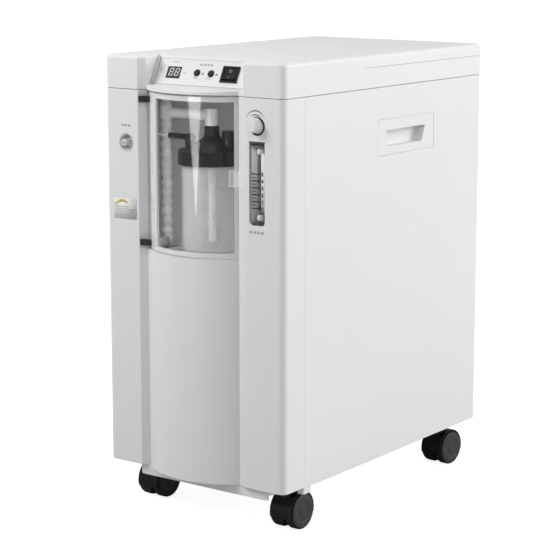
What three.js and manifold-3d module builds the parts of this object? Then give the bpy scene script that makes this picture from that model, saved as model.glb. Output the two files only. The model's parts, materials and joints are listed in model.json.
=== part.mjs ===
// Oxygen concentrator: a tall plastic casing on four twin-wheel casters. The front has two flat columns
// with a bulging middle between them, where a clear door covers the humidifier compartment.
// Millimetres. +Z is up, the front faces -Y, and the origin is on the floor under the casing's centre.
import * as THREE from "three";
import { mergeVertices } from "three/addons/utils/BufferGeometryUtils.js";
import Module from "manifold-3d";

const wasm = await Module();
wasm.setup();

// ---------------------------------------------------------------- driving dimensions
const WIDTH = 300;
const SIDE_X = WIDTH / 2;
const COLUMN_Y = -233; // flat front faces of the two columns
const BACK_Y = 257;
const BODY_Z = 63; // underside of the casing
const SEAM_Z = 580; // joint between the casing and its top cover
const TOP_Z = 625;
const WALL = 3;
const GAP = 0.4; // between neighbouring pieces

const CORNER_R = 9;
const COLUMN_LEFT_X = -92; // inner edges of the columns' flat faces
const COLUMN_RIGHT_X = 86;
const FASCIA_BACK_Y = -188; // where the front moulding meets the side panels

const BULGE = { x: -4, y: -143.4, r: 113.6, left: 225.6, right: 312.7 }; // circle, edge angles in degrees

const DOOR = { sill: 366, top: 578.6, left: -77.5, right: 72.2, thickness: 3, pinX: -83.5, pinY: -230.4 };
const TUB = { left: -92.5, right: 88.5, front: -219.5, back: -105, floor: 363.2, ceiling: 579, wall: 2.5 };

const CONSOLE = { y: -214, z: 587, rise: 38, run: 19, plateLeft: -82.6, plateRight: 78 };
const LID = { front: -49, under: 607.5, pinY: 252, pinZ: 612, nose: 4.2, lugX: 110, lugWidth: 8 };

const BOTTLE = { x: 0, y: -190, r: 41.5, wall: 2.5, bottom: 367, top: 500, lidR: 46, neck: 534 };
const HOSE = { x: -79.5, y: -188, r: 8.5 };
const INLET_Z = 547; // height of the horizontal tube that feeds the humidifier
const OUTLET = { x: -28, y: -201, z: 518 }; // humidifier outlet port
const RELIEF = { x: 26, y: -184, r: 11.5, z: 517, top: 528.5 };

const METER = { left: 94, right: 119.3, bottom: 415, top: 524, boreX: 106, boreY: -224.5, zero: 437.4 };
const KNOB = { x: 106, z: 545, r: 9.1, out: 12.5 };
const NOZZLE = { x: -113, z: 508, r: 12.3 };

const GRIP = { y0: -18, y1: 125, z0: 486, z1: 536, depth: 15 }; // handle plate in each side panel
// The pan under the casing.
const TRAY = { left: -105, right: 121, front: -226, back: 226, bottom: 48, corner: 12 };
const WHEEL = { r: 25, inner: 4.5, outer: 20, segments: 24, axle: 3, trail: 10 };
const WHEEL_Z = WHEEL.r * Math.cos(Math.PI / WHEEL.segments); // a facet lies flat on the floor
const CASTERS = [
  { name: "front_left", x: -114.5, y: -179, turn: 0 },
  { name: "front_right", x: 120, y: -184, turn: 0 },
  { name: "rear_left", x: -120, y: 197, turn: 6 },
  { name: "rear_right", x: 120, y: 197, turn: -5 },
];
const CASTER_BOSS_R = 9.5; // round stub that carries a caster's stem

const FILTER = { half: 55, z0: 420, z1: 530 };
const POWER = { x: -85, z: 105, halfWidth: 14, halfHeight: 10 };
const COMPRESSOR = { x: 0, y: 20, z: 142, r: 46 };
const FAN = { x: 0, y: -84, z: 295, half: 60, thickness: 26, blades: 7 };

// ---------------------------------------------------------------- materials
const finish = (color, roughness, metalness = 0, opacity = 1) =>
  new THREE.MeshStandardMaterial({ color, roughness, metalness, opacity, transparent: opacity < 1 });
const casingWhite = () => finish(0xe9e8ea, 0.4);
const casingGrey = () => finish(0xb9b9bb, 0.5);
const clearPlastic = () => finish(0xdfe3e6, 0.08, 0, 0.35);
const blackPlastic = () => finish(0x242427, 0.45);
const panGrey = () => finish(0x8a898b, 0.5, 0.2);
const castMetal = () => finish(0xa9adb2, 0.45, 0.9);
const rubber = () => finish(0x1d1d1f, 0.85);

// ---------------------------------------------------------------- outlines, as lists of 2-D points
const point = (x, y) => new THREE.Vector2(x, y);

function arc(cx, cy, r, fromDeg, toDeg, steps) {
  return Array.from({ length: steps + 1 }, (_, i) => {
    const angle = THREE.MathUtils.degToRad(fromDeg + ((toDeg - fromDeg) * i) / steps);
    return point(cx + r * Math.cos(angle), cy + r * Math.sin(angle));
  });
}

function roundedRectangle(x0, x1, y0, y1, r, steps = 3) {
  return [
    ...arc(x0 + r, y0 + r, r, 180, 270, steps),
    ...arc(x1 - r, y0 + r, r, 270, 360, steps),
    ...arc(x1 - r, y1 - r, r, 0, 90, steps),
    ...arc(x0 + r, y1 - r, r, 90, 180, steps),
  ];
}

// The casing seen from above, counterclockwise from the front left corner.
function casingOutline() {
  const edge = SIDE_X - CORNER_R;
  return [
    ...arc(-edge, COLUMN_Y + CORNER_R, CORNER_R, 180, 270, 4),
    point(COLUMN_LEFT_X, COLUMN_Y),
    ...arc(BULGE.x, BULGE.y, BULGE.r, BULGE.left, BULGE.right, 16),
    point(COLUMN_RIGHT_X, COLUMN_Y),
    ...arc(edge, COLUMN_Y + CORNER_R, CORNER_R, 270, 360, 4),
    ...arc(edge, BACK_Y - CORNER_R, CORNER_R, 0, 90, 4),
    ...arc(-edge, BACK_Y - CORNER_R, CORNER_R, 90, 180, 4),
  ];
}

// Moves every edge of a counterclockwise outline inwards by the same distance.
function inset(points, distance) {
  return points.map((here, i) => {
    const before = points[(i + points.length - 1) % points.length];
    const after = points[(i + 1) % points.length];
    const into = here.clone().sub(before).normalize();
    const out = after.clone().sub(here).normalize();
    const normal = point(-into.y - out.y, into.x + out.x).normalize();
    const lean = normal.dot(point(-into.y, into.x));
    return here.clone().addScaledVector(normal, distance / lean);
  });
}

// A strip of the bulge's curve, between two radii and two X positions.
function bulgeStrip(outer, inner, left, right, steps = 14) {
  const degrees = (x, r) => 360 - THREE.MathUtils.radToDeg(Math.acos((x - BULGE.x) / r));
  const front = arc(BULGE.x, BULGE.y, outer, degrees(left, outer), degrees(right, outer), steps);
  const back = arc(BULGE.x, BULGE.y, inner, degrees(right, outer), degrees(left, outer), steps);
  return [...front, ...back];
}

// ---------------------------------------------------------------- solids
function solid(geometry) {
  const bare = geometry.clone();
  bare.deleteAttribute("normal");
  bare.deleteAttribute("uv");
  const welded = mergeVertices(bare, 1e-4);
  const vertProperties = new Float32Array(welded.attributes.position.array);
  const triVerts = new Uint32Array(welded.index.array);
  return new wasm.Manifold(new wasm.Mesh({ numProp: 3, vertProperties, triVerts }));
}

const asSolid = (shape) => (shape.isBufferGeometry ? solid(shape) : shape);
const join = (...shapes) => shapes.map(asSolid).reduce((a, b) => a.add(b));
const cut = (body, ...tools) => tools.map(asSolid).reduce((a, b) => a.subtract(b), asSolid(body));
const common = (a, b) => asSolid(a).intersect(asSolid(b));

function asGeometry(shape) {
  if (shape.isBufferGeometry) return shape;
  const mesh = shape.getMesh();
  const geometry = new THREE.BufferGeometry();
  geometry.setAttribute("position", new THREE.BufferAttribute(mesh.vertProperties, 3));
  geometry.setIndex(new THREE.BufferAttribute(mesh.triVerts, 1));
  geometry.computeVertexNormals();
  return geometry;
}

function extruded(points, depth) {
  return new THREE.ExtrudeGeometry(new THREE.Shape(points), { depth, bevelEnabled: false });
}

// Prisms whose outline lies across Z (x, y), across Y (x, z) or across X (y, z).
const prismZ = (points, z0, z1) => extruded(points, z1 - z0).translate(0, 0, z0);
const prismY = (points, y0, y1) => extruded(points, y1 - y0).rotateX(Math.PI / 2).translate(0, y1, 0);

function prismX(points, x0, x1) {
  const axes = new THREE.Matrix4().makeBasis(
    new THREE.Vector3(0, 1, 0),
    new THREE.Vector3(0, 0, 1),
    new THREE.Vector3(1, 0, 0),
  );
  return extruded(points, x1 - x0).applyMatrix4(axes).translate(x0, 0, 0);
}

function block(x0, x1, y0, y1, z0, z1) {
  const middle = [(x0 + x1) / 2, (y0 + y1) / 2, (z0 + z1) / 2];
  return new THREE.BoxGeometry(x1 - x0, y1 - y0, z1 - z0).translate(...middle);
}

const rod = (r, length, sides) => new THREE.CylinderGeometry(r, r, length, sides);
const rodY = (r, x, z, y0, y1, sides = 24) => rod(r, y1 - y0, sides).translate(x, (y0 + y1) / 2, z);

function rodX(r, y, z, x0, x1, sides = 24) {
  return rod(r, x1 - x0, sides).rotateZ(Math.PI / 2).translate((x0 + x1) / 2, y, z);
}

function rodZ(r, x, y, z0, z1, sides = 24) {
  return rod(r, z1 - z0, sides).rotateX(Math.PI / 2).translate(x, y, (z0 + z1) / 2);
}

// A turned piece: the profile is a list of [radius, height] going up, and its axis is +Y.
function turned(profile, segments = 24) {
  return new THREE.LatheGeometry(profile.map(([r, h]) => point(r, h)), segments);
}

const turnedUp = (profile, segments) => turned(profile, segments).rotateX(Math.PI / 2);
const turnedForward = (profile, segments) => turned(profile, segments).rotateX(Math.PI);

// Stacks outlines of equal point counts into one closed body. Levels are {points, z}, going up.
function stacked(levels) {
  const count = levels[0].points.length;
  const position = levels.flatMap(({ points, z }) => points.flatMap((p) => [p.x, p.y, z]));
  const index = [];
  for (let level = 0; level < levels.length - 1; level += 1) {
    for (let i = 0; i < count; i += 1) {
      const a = level * count + i;
      const b = level * count + ((i + 1) % count);
      index.push(a, b, b + count, a, b + count, a + count);
    }
  }
  const top = (levels.length - 1) * count;
  for (const [a, b, c] of THREE.ShapeUtils.triangulateShape(levels[0].points, [])) index.push(c, b, a);
  for (const [a, b, c] of THREE.ShapeUtils.triangulateShape(levels.at(-1).points, [])) {
    index.push(top + a, top + b, top + c);
  }
  const geometry = new THREE.BufferGeometry();
  geometry.setAttribute("position", new THREE.Float32BufferAttribute(position, 3));
  geometry.setIndex(index);
  geometry.computeVertexNormals();
  return geometry;
}

// The casing's outline from z0 to z1, with its top edge rounded.
function roundedTop(outline, z0, z1, radius, steps = 3) {
  const levels = [{ points: outline, z: z0 }];
  for (let i = 0; i <= steps; i += 1) {
    const angle = (i / steps) * (Math.PI / 2);
    const points = inset(outline, radius * (1 - Math.cos(angle)));
    levels.push({ points, z: z1 - radius * (1 - Math.sin(angle)) });
  }
  return stacked(levels);
}

// ---------------------------------------------------------------- the assembly
const object = new THREE.Group();

function addPart(name, shape, material, parent = object) {
  const mesh = new THREE.Mesh(asGeometry(shape), material);
  mesh.name = name;
  parent.add(mesh);
  return mesh;
}

const outline = casingOutline();
const hollow = inset(outline, WALL);

// ---------------------------------------------------------------- casing
function frontFascia() {
  const shell = cut(
    prismZ(outline, BODY_Z, SEAM_Z - GAP),
    prismZ(hollow, BODY_Z - 1, SEAM_Z + 1),
    block(-SIDE_X - 1, SIDE_X + 1, FASCIA_BACK_Y, BACK_Y + 1, BODY_Z - 1, SEAM_Z + 1),
  );
  const doorway = block(DOOR.left - 5.7, DOOR.right + 0.6, -260, -200, DOOR.sill, SEAM_Z + 1);
  const meterCorner = 6;
  const meterSlot = prismY(
    [
      ...arc(METER.left + meterCorner, METER.bottom + meterCorner, meterCorner, 180, 270, 3),
      ...arc(METER.right - meterCorner, METER.bottom + meterCorner, meterCorner, 270, 360, 3),
      point(METER.right, METER.top),
      point(METER.left, METER.top),
    ],
    COLUMN_Y - 1,
    COLUMN_Y + 6,
  );
  const nozzleHole = rodY(NOZZLE.r + GAP, NOZZLE.x, NOZZLE.z, COLUMN_Y - 1, COLUMN_Y + 6, 28);
  const knobHole = rodY(3.6, KNOB.x, KNOB.z, COLUMN_Y - 1, COLUMN_Y + 6, 12);
  return cut(shell, doorway, meterSlot, nozzleHole, knobHole);
}

// The right side panel: an L that wraps round the rear corner. The left one is its mirror image.
function sidePanel() {
  const reach = 141; // how far the panel wraps round onto the back
  const front = FASCIA_BACK_Y + GAP;
  const shell = cut(
    prismZ(outline, BODY_Z, SEAM_Z - GAP),
    prismZ(hollow, BODY_Z - 1, SEAM_Z + 1),
    block(-SIDE_X - 1, reach, -300, 300, BODY_Z - 1, SEAM_Z + 1),
    block(0, SIDE_X + 1, -300, front, BODY_Z - 1, SEAM_Z + 1),
  );
  const gripHole = block(140, SIDE_X + 1, GRIP.y0, GRIP.y1, GRIP.z0, GRIP.z1);
  const foot = block(139, SIDE_X - 1, front, front + 16, BODY_Z - 10, BODY_Z + 0.5);
  return cut(join(shell, foot), gripHole);
}

// A finger cup let into the right side panel.
function gripCup() {
  const slot = [point(8, 497.6), point(93, 497.6), point(102, 519.5), point(3, 519.5)];
  const rim = inset(slot, -2);
  const plate = block(
    SIDE_X - WALL + GAP, SIDE_X - 0.2,
    GRIP.y0 + GAP, GRIP.y1 - GAP,
    GRIP.z0 + GAP, GRIP.z1 - GAP,
  );
  const back = SIDE_X - GRIP.depth;
  return cut(join(plate, prismX(rim, back - 2, SIDE_X - 1)), prismX(slot, back, SIDE_X + 1));
}

const mirrored = (shape) => asGeometry(shape).clone().applyMatrix4(new THREE.Matrix4().makeScale(-1, 1, 1));

// Mirroring turns the faces inside out, so each triangle is wound the other way again.
function leftHand(shape) {
  const geometry = mirrored(shape);
  const index = geometry.index.array;
  for (let i = 0; i < index.length; i += 3) [index[i], index[i + 1]] = [index[i + 1], index[i]];
  geometry.computeVertexNormals();
  return geometry;
}

function rearPanel() {
  const half = 140.6;
  const front = BACK_Y - WALL;
  const pocketFront = 238;
  const louvres = Array.from({ length: 9 }, (_, i) => {
    const z = 190 + i * 14;
    return block(-75, 75, front - 1, BACK_Y + 1, z, z + 6);
  });
  const { half: f, z0, z1 } = FILTER;
  const pocket = cut(
    block(-f - 3, f + 3, pocketFront, front + 1, z0 - 3, z1 + 3),
    block(-f, f, pocketFront - 1, front + 2, z0, z1),
  );
  const plate = join(block(-half, half, front, BACK_Y, BODY_Z, SEAM_Z - GAP), pocket);
  const filterHole = block(-f, f, pocketFront - 1, BACK_Y + 1, z0, z1);
  const powerHole = block(
    POWER.x - POWER.halfWidth - GAP, POWER.x + POWER.halfWidth + GAP,
    front - 1, BACK_Y + 1,
    POWER.z - POWER.halfHeight - GAP, POWER.z + POWER.halfHeight + GAP,
  );
  return cut(plate, filterHole, powerHole, ...louvres);
}

function basePan() {
  const floorTop = BODY_Z + 3;
  const { left, right, front, back, bottom, corner } = TRAY;
  const wall = 2;
  const inside = inset(outline, WALL + GAP);
  const trayOutline = roundedRectangle(left, right, front, back, corner, 4);
  const plate = prismZ(inside, BODY_Z + 1, floorTop);
  const tray = prismZ(trayOutline, bottom, BODY_Z - GAP);
  const neck = common(prismZ(trayOutline, bottom, BODY_Z + 2), prismZ(inside, bottom, BODY_Z + 2));
  const well = common(
    prismZ(inset(trayOutline, wall), bottom + wall, floorTop + 1),
    prismZ(inset(inside, wall), bottom, floorTop + 1),
  );
  // The underside is domed over each caster, which turns in the space below.
  const swing = WHEEL.trail + WHEEL.r + 3.5;
  const domeTop = BODY_Z - 8.5;
  const domes = CASTERS.map((c) => rodZ(swing + 2, c.x, c.y, bottom, domeTop + 2));
  const hollows = CASTERS.map((c) => rodZ(swing, c.x, c.y, bottom - 1, domeTop));
  const lipY = { front: -160, back: 109 };
  const rails = [-1, 1].map((side) => {
    const [near, far] = [side * 143, side * 146.4].sort((a, b) => a - b);
    return block(near, far, lipY.front, lipY.back, BODY_Z - 2.5, BODY_Z + 2);
  });
  const sockets = CASTERS.map((c) => rodZ(9, c.x, c.y, BODY_Z + 2, BODY_Z + 30, 16));
  const bossHoles = CASTERS.map((c) => rodZ(CASTER_BOSS_R + 0.8, c.x, c.y, bottom - 1, BODY_Z + 0.6, 24));
  const bores = CASTERS.map((c) => rodZ(6, c.x, c.y, BODY_Z, BODY_Z + 31, 16));
  const domed = domes.map((dome) => common(dome, tray));
  const pan = join(cut(join(plate, tray, neck), well), ...domed, ...rails, ...sockets);
  return cut(pan, ...hollows, ...bossHoles, ...bores);
}

addPart("front_fascia", frontFascia(), casingWhite());
addPart("side_panel_right", sidePanel(), casingWhite());
addPart("side_panel_left", leftHand(sidePanel()), casingWhite());
addPart("handle_cup_right", gripCup(), casingWhite());
addPart("handle_cup_left", leftHand(gripCup()), casingWhite());
addPart("rear_panel", rearPanel(), casingWhite());
addPart("base_pan", basePan(), panGrey());

// ---------------------------------------------------------------- top cover and rear lid
// The console's recess seen from the side, as [y, z]: a gentle ledge, then the inclined face.
const recessSide = [
  point(-262, CONSOLE.z - 4),
  point(CONSOLE.y, CONSOLE.z),
  point(CONSOLE.y + CONSOLE.run + 2, CONSOLE.z + CONSOLE.rise + 4),
  point(-262, CONSOLE.z + CONSOLE.rise + 4),
];
const recessBacking = [
  point(-262, SEAM_Z - 1),
  point(-214.7, SEAM_Z - 1),
  point(-189.7, TOP_Z + 4),
  point(-262, TOP_Z + 4),
];
const recessPlan = [
  point(COLUMN_LEFT_X, -262),
  point(COLUMN_RIGHT_X, -262),
  point(COLUMN_RIGHT_X, COLUMN_Y),
  point(79, COLUMN_Y + 8),
  point(79, -185),
  point(-83.5, -185),
  point(-83.5, COLUMN_Y + 8.5),
  point(COLUMN_LEFT_X, COLUMN_Y),
];

// The inclined face as a frame: x across, y up the slope, z out of the face.
const consoleFrame = new THREE.Group();
consoleFrame.position.set(0, CONSOLE.y, CONSOLE.z);
consoleFrame.rotation.x = Math.atan2(CONSOLE.rise, CONSOLE.run);
consoleFrame.updateMatrix();
object.add(consoleFrame);
const onConsole = (geometry) => geometry.clone().applyMatrix4(consoleFrame.matrix);

const DISPLAY = { x0: -62, x1: -39.3, s0: 9.7, s1: 25.7 };
const SWITCH = { x0: 30, x1: 57.5, s0: 7.5, s1: 30.4 };
const BUTTONS = [{ name: "button_up", x: 11.8 }, { name: "button_down", x: -11.4 }];
const BUTTON = { s: 18.7, r: 4.8 };

// Everything that is let into the console face, as cutters in its own frame.
function consoleOpenings(grow) {
  const { x0, x1, s0, s1 } = SWITCH;
  return [
    block(DISPLAY.x0 - grow, DISPLAY.x1 + grow, DISPLAY.s0 - grow, DISPLAY.s1 + grow, -20, 5),
    block(x0 + 2 - grow, x1 - 2 + grow, s0 + 2 - grow, s1 - 2 + grow, -20, 5),
    ...BUTTONS.map(({ x }) => rodZ(BUTTON.r + grow, x, BUTTON.s, -20, 5, 20)),
  ];
}

function topCover() {
  const rear = block(-SIDE_X - 1, SIDE_X + 1, LID.front, BACK_Y + 1, LID.under, TOP_Z + 1);
  const recess = common(prismX(recessSide, -100, 100), prismZ(recessPlan, SEAM_Z, TOP_Z + 5));
  const pocket = onConsole(block(CONSOLE.plateLeft - GAP, CONSOLE.plateRight + GAP, 0.4, 39.9, -0.8, 5));
  const solidCover = cut(roundedTop(outline, SEAM_Z + GAP, TOP_Z, 5), rear, recess, pocket);
  const cavity = cut(
    prismZ(hollow, SEAM_Z - 1, TOP_Z - WALL),
    block(-SIDE_X, SIDE_X, LID.front - WALL, BACK_Y, LID.under - WALL, TOP_Z),
    prismX(recessBacking, COLUMN_LEFT_X - WALL, COLUMN_RIGHT_X + WALL),
  );
  const storage = { x: 95, y0: -25, y1: 205, floor: 545 };
  const tubOutside = block(
    -storage.x - 2.5, storage.x + 2.5, storage.y0 - 2.5, storage.y1 + 2.5, storage.floor - 2.5, LID.under);
  const tubInside = block(
    -storage.x, storage.x, storage.y0, storage.y1, storage.floor, LID.under + 1);
  const lugs = [-LID.lugX, LID.lugX].map((x) => join(
    rodX(3.6, LID.pinY, LID.pinZ, x - LID.lugWidth / 2, x + LID.lugWidth / 2, 16),
    block(
      x - LID.lugWidth / 2, x + LID.lugWidth / 2, LID.pinY - 3.6, LID.pinY + 3.6, LID.under - 1, LID.pinZ),
  ));
  return cut(
    join(cut(solidCover, cavity), tubOutside, ...lugs),
    tubInside,
    rodX(1.8, LID.pinY, LID.pinZ, -130, 130, 12),
    ...consoleOpenings(GAP).map(onConsole),
  );
}

function rearLid() {
  const bottom = LID.under + GAP;
  const slab = roundedTop(outline, bottom, TOP_Z, 5);
  const nose = LID.pinY + LID.nose;
  const inFront = block(-SIDE_X - 1, SIDE_X + 1, -300, LID.front + GAP, bottom - 1, TOP_Z + 1);
  const behind = block(-SIDE_X - 1, SIDE_X + 1, nose, BACK_Y + 1, bottom - 1, TOP_Z + 1);
  const underNose = cut(
    block(-SIDE_X - 1, SIDE_X + 1, LID.pinY, nose + 1, bottom - 1, LID.pinZ),
    rodX(LID.nose, LID.pinY, LID.pinZ, -SIDE_X - 2, SIDE_X + 2, 32),
  );
  const inside = common(
    prismZ(hollow, bottom - 1, TOP_Z - WALL),
    block(-SIDE_X, SIDE_X, LID.front + GAP + WALL, LID.pinY - 8, bottom - 2, TOP_Z),
  );
  const slots = [-LID.lugX, LID.lugX].map((x) => {
    const half = LID.lugWidth / 2 + 0.6;
    return block(x - half, x + half, LID.pinY - 6, BACK_Y, bottom - 1, LID.pinZ + 5);
  });
  const pinBore = rodX(1.8, LID.pinY, LID.pinZ, -130, 130, 12);
  return cut(slab, inFront, behind, underNose, inside, ...slots, pinBore);
}

addPart("top_cover", topCover(), casingWhite());
addPart("rear_lid", rearLid(), casingWhite());
addPart("lid_hinge_rod", rodX(1.4, LID.pinY, LID.pinZ, -124, 124, 12), castMetal());

// ---------------------------------------------------------------- console
function consolePlate() {
  const plate = block(CONSOLE.plateLeft, CONSOLE.plateRight, 0.8, 39.5, -0.5, 0.8);
  return cut(plate, ...consoleOpenings(GAP));
}

function rockerFrame() {
  const { x0, x1, s0, s1 } = SWITCH;
  const flange = block(x0, x1, s0, s1, 1.1, 2.6);
  const box = block(x0 + 2, x1 - 2, s0 + 2, s1 - 2, -14, 2);
  return cut(join(flange, box), block(x0 + 3.2, x1 - 3.2, s0 + 2.9, s1 - 2.9, -11, 4));
}

// The rocker's two faces meet at a shallow angle. It rests with its upper half pressed in.
const ROCKER = { half: 7.9, wing: 3.4, middle: 1.6, tiltDeg: 8 };

function rocker() {
  const { half, wing, middle } = ROCKER;
  const foot = -2.5;
  const side = [
    point(-half, foot), point(half, foot), point(half, wing), point(0, middle), point(-half, wing),
  ];
  const tilt = THREE.MathUtils.degToRad(-ROCKER.tiltDeg);
  const centre = (SWITCH.s0 + SWITCH.s1) / 2;
  return prismX(side, SWITCH.x0 + 3.8, SWITCH.x1 - 3.8).rotateX(tilt).translate(0, centre, 0);
}

addPart("console_plate", consolePlate(), casingWhite(), consoleFrame);
const display = block(DISPLAY.x0, DISPLAY.x1, DISPLAY.s0, DISPLAY.s1, -4, 1);
addPart("display_window", display, blackPlastic(), consoleFrame);
addPart("rocker_frame", rockerFrame(), blackPlastic(), consoleFrame);
addPart("rocker", rocker(), blackPlastic(), consoleFrame);
for (const { name, x } of BUTTONS) {
  const { s, r } = BUTTON;
  const cap = turnedUp([[0, -6], [r, -6], [r, 1.9], [r * 0.75, 2.8], [0, 3]], 20).translate(x, s, 0);
  addPart(name, cap, blackPlastic(), consoleFrame);
}

// ---------------------------------------------------------------- humidifier compartment and its door
// The door's opaque frame lies behind its clear shell, between these two radii of the bulge.
const DOOR_FRAME = { outer: BULGE.r - DOOR.thickness - GAP, inner: BULGE.r - DOOR.thickness - GAP - 3 };

function compartmentTub() {
  const { left, right, front, back, floor, ceiling, wall } = TUB;
  const box = cut(
    block(left, right, front, back, floor, ceiling),
    block(left + wall, right - wall, front - 1, back - wall, floor + wall, ceiling - wall),
  );
  const shelf = (r) => {
    const ends = { left: -79, right: 71 };
    const steps = 14;
    const curve = bulgeStrip(r, r - 1, ends.left, ends.right, steps).slice(0, steps + 1);
    return [...curve, point(ends.right, front + 1), point(ends.left, front + 1)];
  };
  const sill = prismZ(shelf(BULGE.r - WALL - 0.5), floor, floor + wall);
  const eave = prismZ(shelf(DOOR_FRAME.inner - 0.6), ceiling - wall, ceiling);
  const jamb = block(left, -80, front, front + wall, floor, ceiling); // behind the gap at the hinge edge
  return join(box, sill, eave, jamb);
}

const EAR = { height: 8.5, r: 3, pinR: 1.5 };
const BRACKET = { height: 8, upper: 564, lower: 370.5, right: -75.2 };

// The clear shell turns on a pin at each end of its hinge edge, and is notched where it passes a bracket.
function doorShell() {
  const { sill, top, left, right, thickness, pinX, pinY } = DOOR;
  const shell = prismZ(bulgeStrip(BULGE.r, BULGE.r - thickness, left, right), sill + 1, top);
  const notchAt = (z) => block(
    left - 1, BRACKET.right + 2.7, -240, -220, z - GAP, z + BRACKET.height + GAP);
  const earAt = (z) => join(
    rodZ(EAR.r, pinX, pinY, z, z + EAR.height, 20),
    block(pinX, left + 2, pinY - 2.2, pinY + 2.8, z, z + EAR.height),
  );
  const belowUpper = BRACKET.upper - GAP - EAR.height;
  const aboveLower = BRACKET.lower + BRACKET.height + GAP;
  const pins = [
    rodZ(EAR.pinR, pinX, pinY, BRACKET.upper - 2, BRACKET.upper + 6, 12),
    rodZ(EAR.pinR, pinX, pinY, BRACKET.lower + 2, aboveLower + 2, 12),
  ];
  const notched = cut(shell, notchAt(BRACKET.upper), notchAt(BRACKET.lower));
  return join(notched, earAt(belowUpper), earAt(aboveLower), ...pins);
}

// The opaque part of the door: a bar down each side, a rail along the top and one along the foot.
function doorFrame() {
  const { outer, inner } = DOOR_FRAME;
  const foot = DOOR.sill + 1.4;
  const head = DOOR.top - 0.3;
  const left = -74.5;
  const right = 70.5;
  const hingeBar = prismZ(bulgeStrip(outer, inner, left, -53, 4), foot, head);
  const freeBar = prismZ(bulgeStrip(outer, inner, right - 4, right, 2), foot, head);
  const topRail = prismZ(bulgeStrip(outer, inner, left, right, 14), 571.5, head);
  const footRail = prismZ(bulgeStrip(outer, inner, left, right, 14), foot, foot + 6);
  return join(hingeBar, freeBar, topRail, footRail);
}

function doorPullTab() {
  const plan = [
    point(64.5, -238.5), point(84.5, -237.4), point(84.5, -234.8),
    point(71.5, -236), point(70.3, -230), point(65.3, -234),
  ];
  return prismZ(plan, 463, 484);
}

// A block on the slanted wall beside the door, bored for the door's pin.
function doorHinge(z) {
  const wallPoint = (along, out) => {
    const step = Math.SQRT1_2;
    return point(COLUMN_LEFT_X + (along + out) * step, COLUMN_Y + (along - out) * step);
  };
  const plan = [
    wallPoint(0.8, 6.3), point(BRACKET.right, -231.5), point(BRACKET.right, -226.5),
    wallPoint(11, 0.4), wallPoint(0.8, 0.4),
  ];
  const bore = rodZ(EAR.pinR + GAP, DOOR.pinX, DOOR.pinY, z - 1, z + BRACKET.height + 1, 12);
  return cut(prismZ(plan, z, z + BRACKET.height), bore);
}

addPart("compartment_tub", compartmentTub(), casingGrey());
addPart("door_shell", doorShell(), clearPlastic());
addPart("door_frame", doorFrame(), casingWhite());
addPart("door_pull_tab", doorPullTab(), clearPlastic());
addPart("door_hinge_upper", doorHinge(BRACKET.upper), blackPlastic());
addPart("door_hinge_lower", doorHinge(BRACKET.lower), blackPlastic());

// ---------------------------------------------------------------- humidifier
function bottle() {
  const { r, wall, bottom, top } = BOTTLE;
  const profile = [
    [0, bottom], [r - 4, bottom], [r, bottom + 4], [r, top], [r - wall, top],
    [r - wall, bottom + 6], [r - wall - 3, bottom + 3], [0, bottom + 3],
  ];
  return turnedUp(profile, 32).translate(BOTTLE.x, BOTTLE.y, 0);
}

function bottleLid() {
  const { r, top, lidR, neck } = BOTTLE;
  // A skirt over the bottle's mouth, then a shoulder that sweeps up into the neck.
  const cone = turnedUp([
    [0, top + 1], [r + 0.4, top + 1], [r + 0.4, 484], [lidR, 484], [lidR, 501.5], [lidR - 1.5, 503],
    [39, 504.6], [30, 508.4], [20, 513], [13, 517.6], [10.2, 522.5], [9.6, neck], [0, neck],
  ], 32).translate(BOTTLE.x, BOTTLE.y, 0);
  const dome = cut(cone, rodZ(RELIEF.r + 0.8, RELIEF.x, RELIEF.y, RELIEF.z, neck + 1, 24));
  const reliefSeat = rodZ(RELIEF.r, RELIEF.x, RELIEF.y, 503, RELIEF.z, 20);
  const outletDome = turnedUp([[0, 504], [7, 504], [7, 519], [4.5, 522.5], [0, 523.5]], 20)
    .translate(OUTLET.x, OUTLET.y, 0);
  const outletBarb = rodX(3, OUTLET.y, OUTLET.z, OUTLET.x - 21, OUTLET.x, 12);
  return join(dome, reliefSeat, outletDome, outletBarb);
}

const tubeProfile = (r, wall, z0, z1) => [[r, z0], [r, z1], [r - wall, z1], [r - wall, z0], [r, z0]];

function inletElbow() {
  const { x, y } = BOTTLE;
  const foot = BOTTLE.neck + GAP;
  const crown = INLET_Z + 10;
  const riser = join(rodZ(9, x, y, foot, crown, 20), rodX(8, y, INLET_Z, x - 15, x, 20));
  return cut(riser, rodZ(7, x, y, foot - 1, crown - 2, 16), rodX(6, y, INLET_Z, x - 16, x, 16));
}

// A collar round the upright hose with a side branch that runs to the elbow.
function feedTube() {
  const branchY = BOTTLE.y;
  const start = BOTTLE.x - 15 - GAP;
  const outside = join(
    rodZ(HOSE.r + 1.7, HOSE.x, HOSE.y, INLET_Z - 9, INLET_Z + 9, 20),
    rodX(7, branchY, INLET_Z, HOSE.x, start, 16),
  );
  const bore = rodX(5.5, branchY, INLET_Z, HOSE.x, start + 1, 16);
  return cut(outside, rodZ(HOSE.r + GAP, HOSE.x, HOSE.y, INLET_Z - 10, INLET_Z + 10, 20), bore);
}

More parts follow.
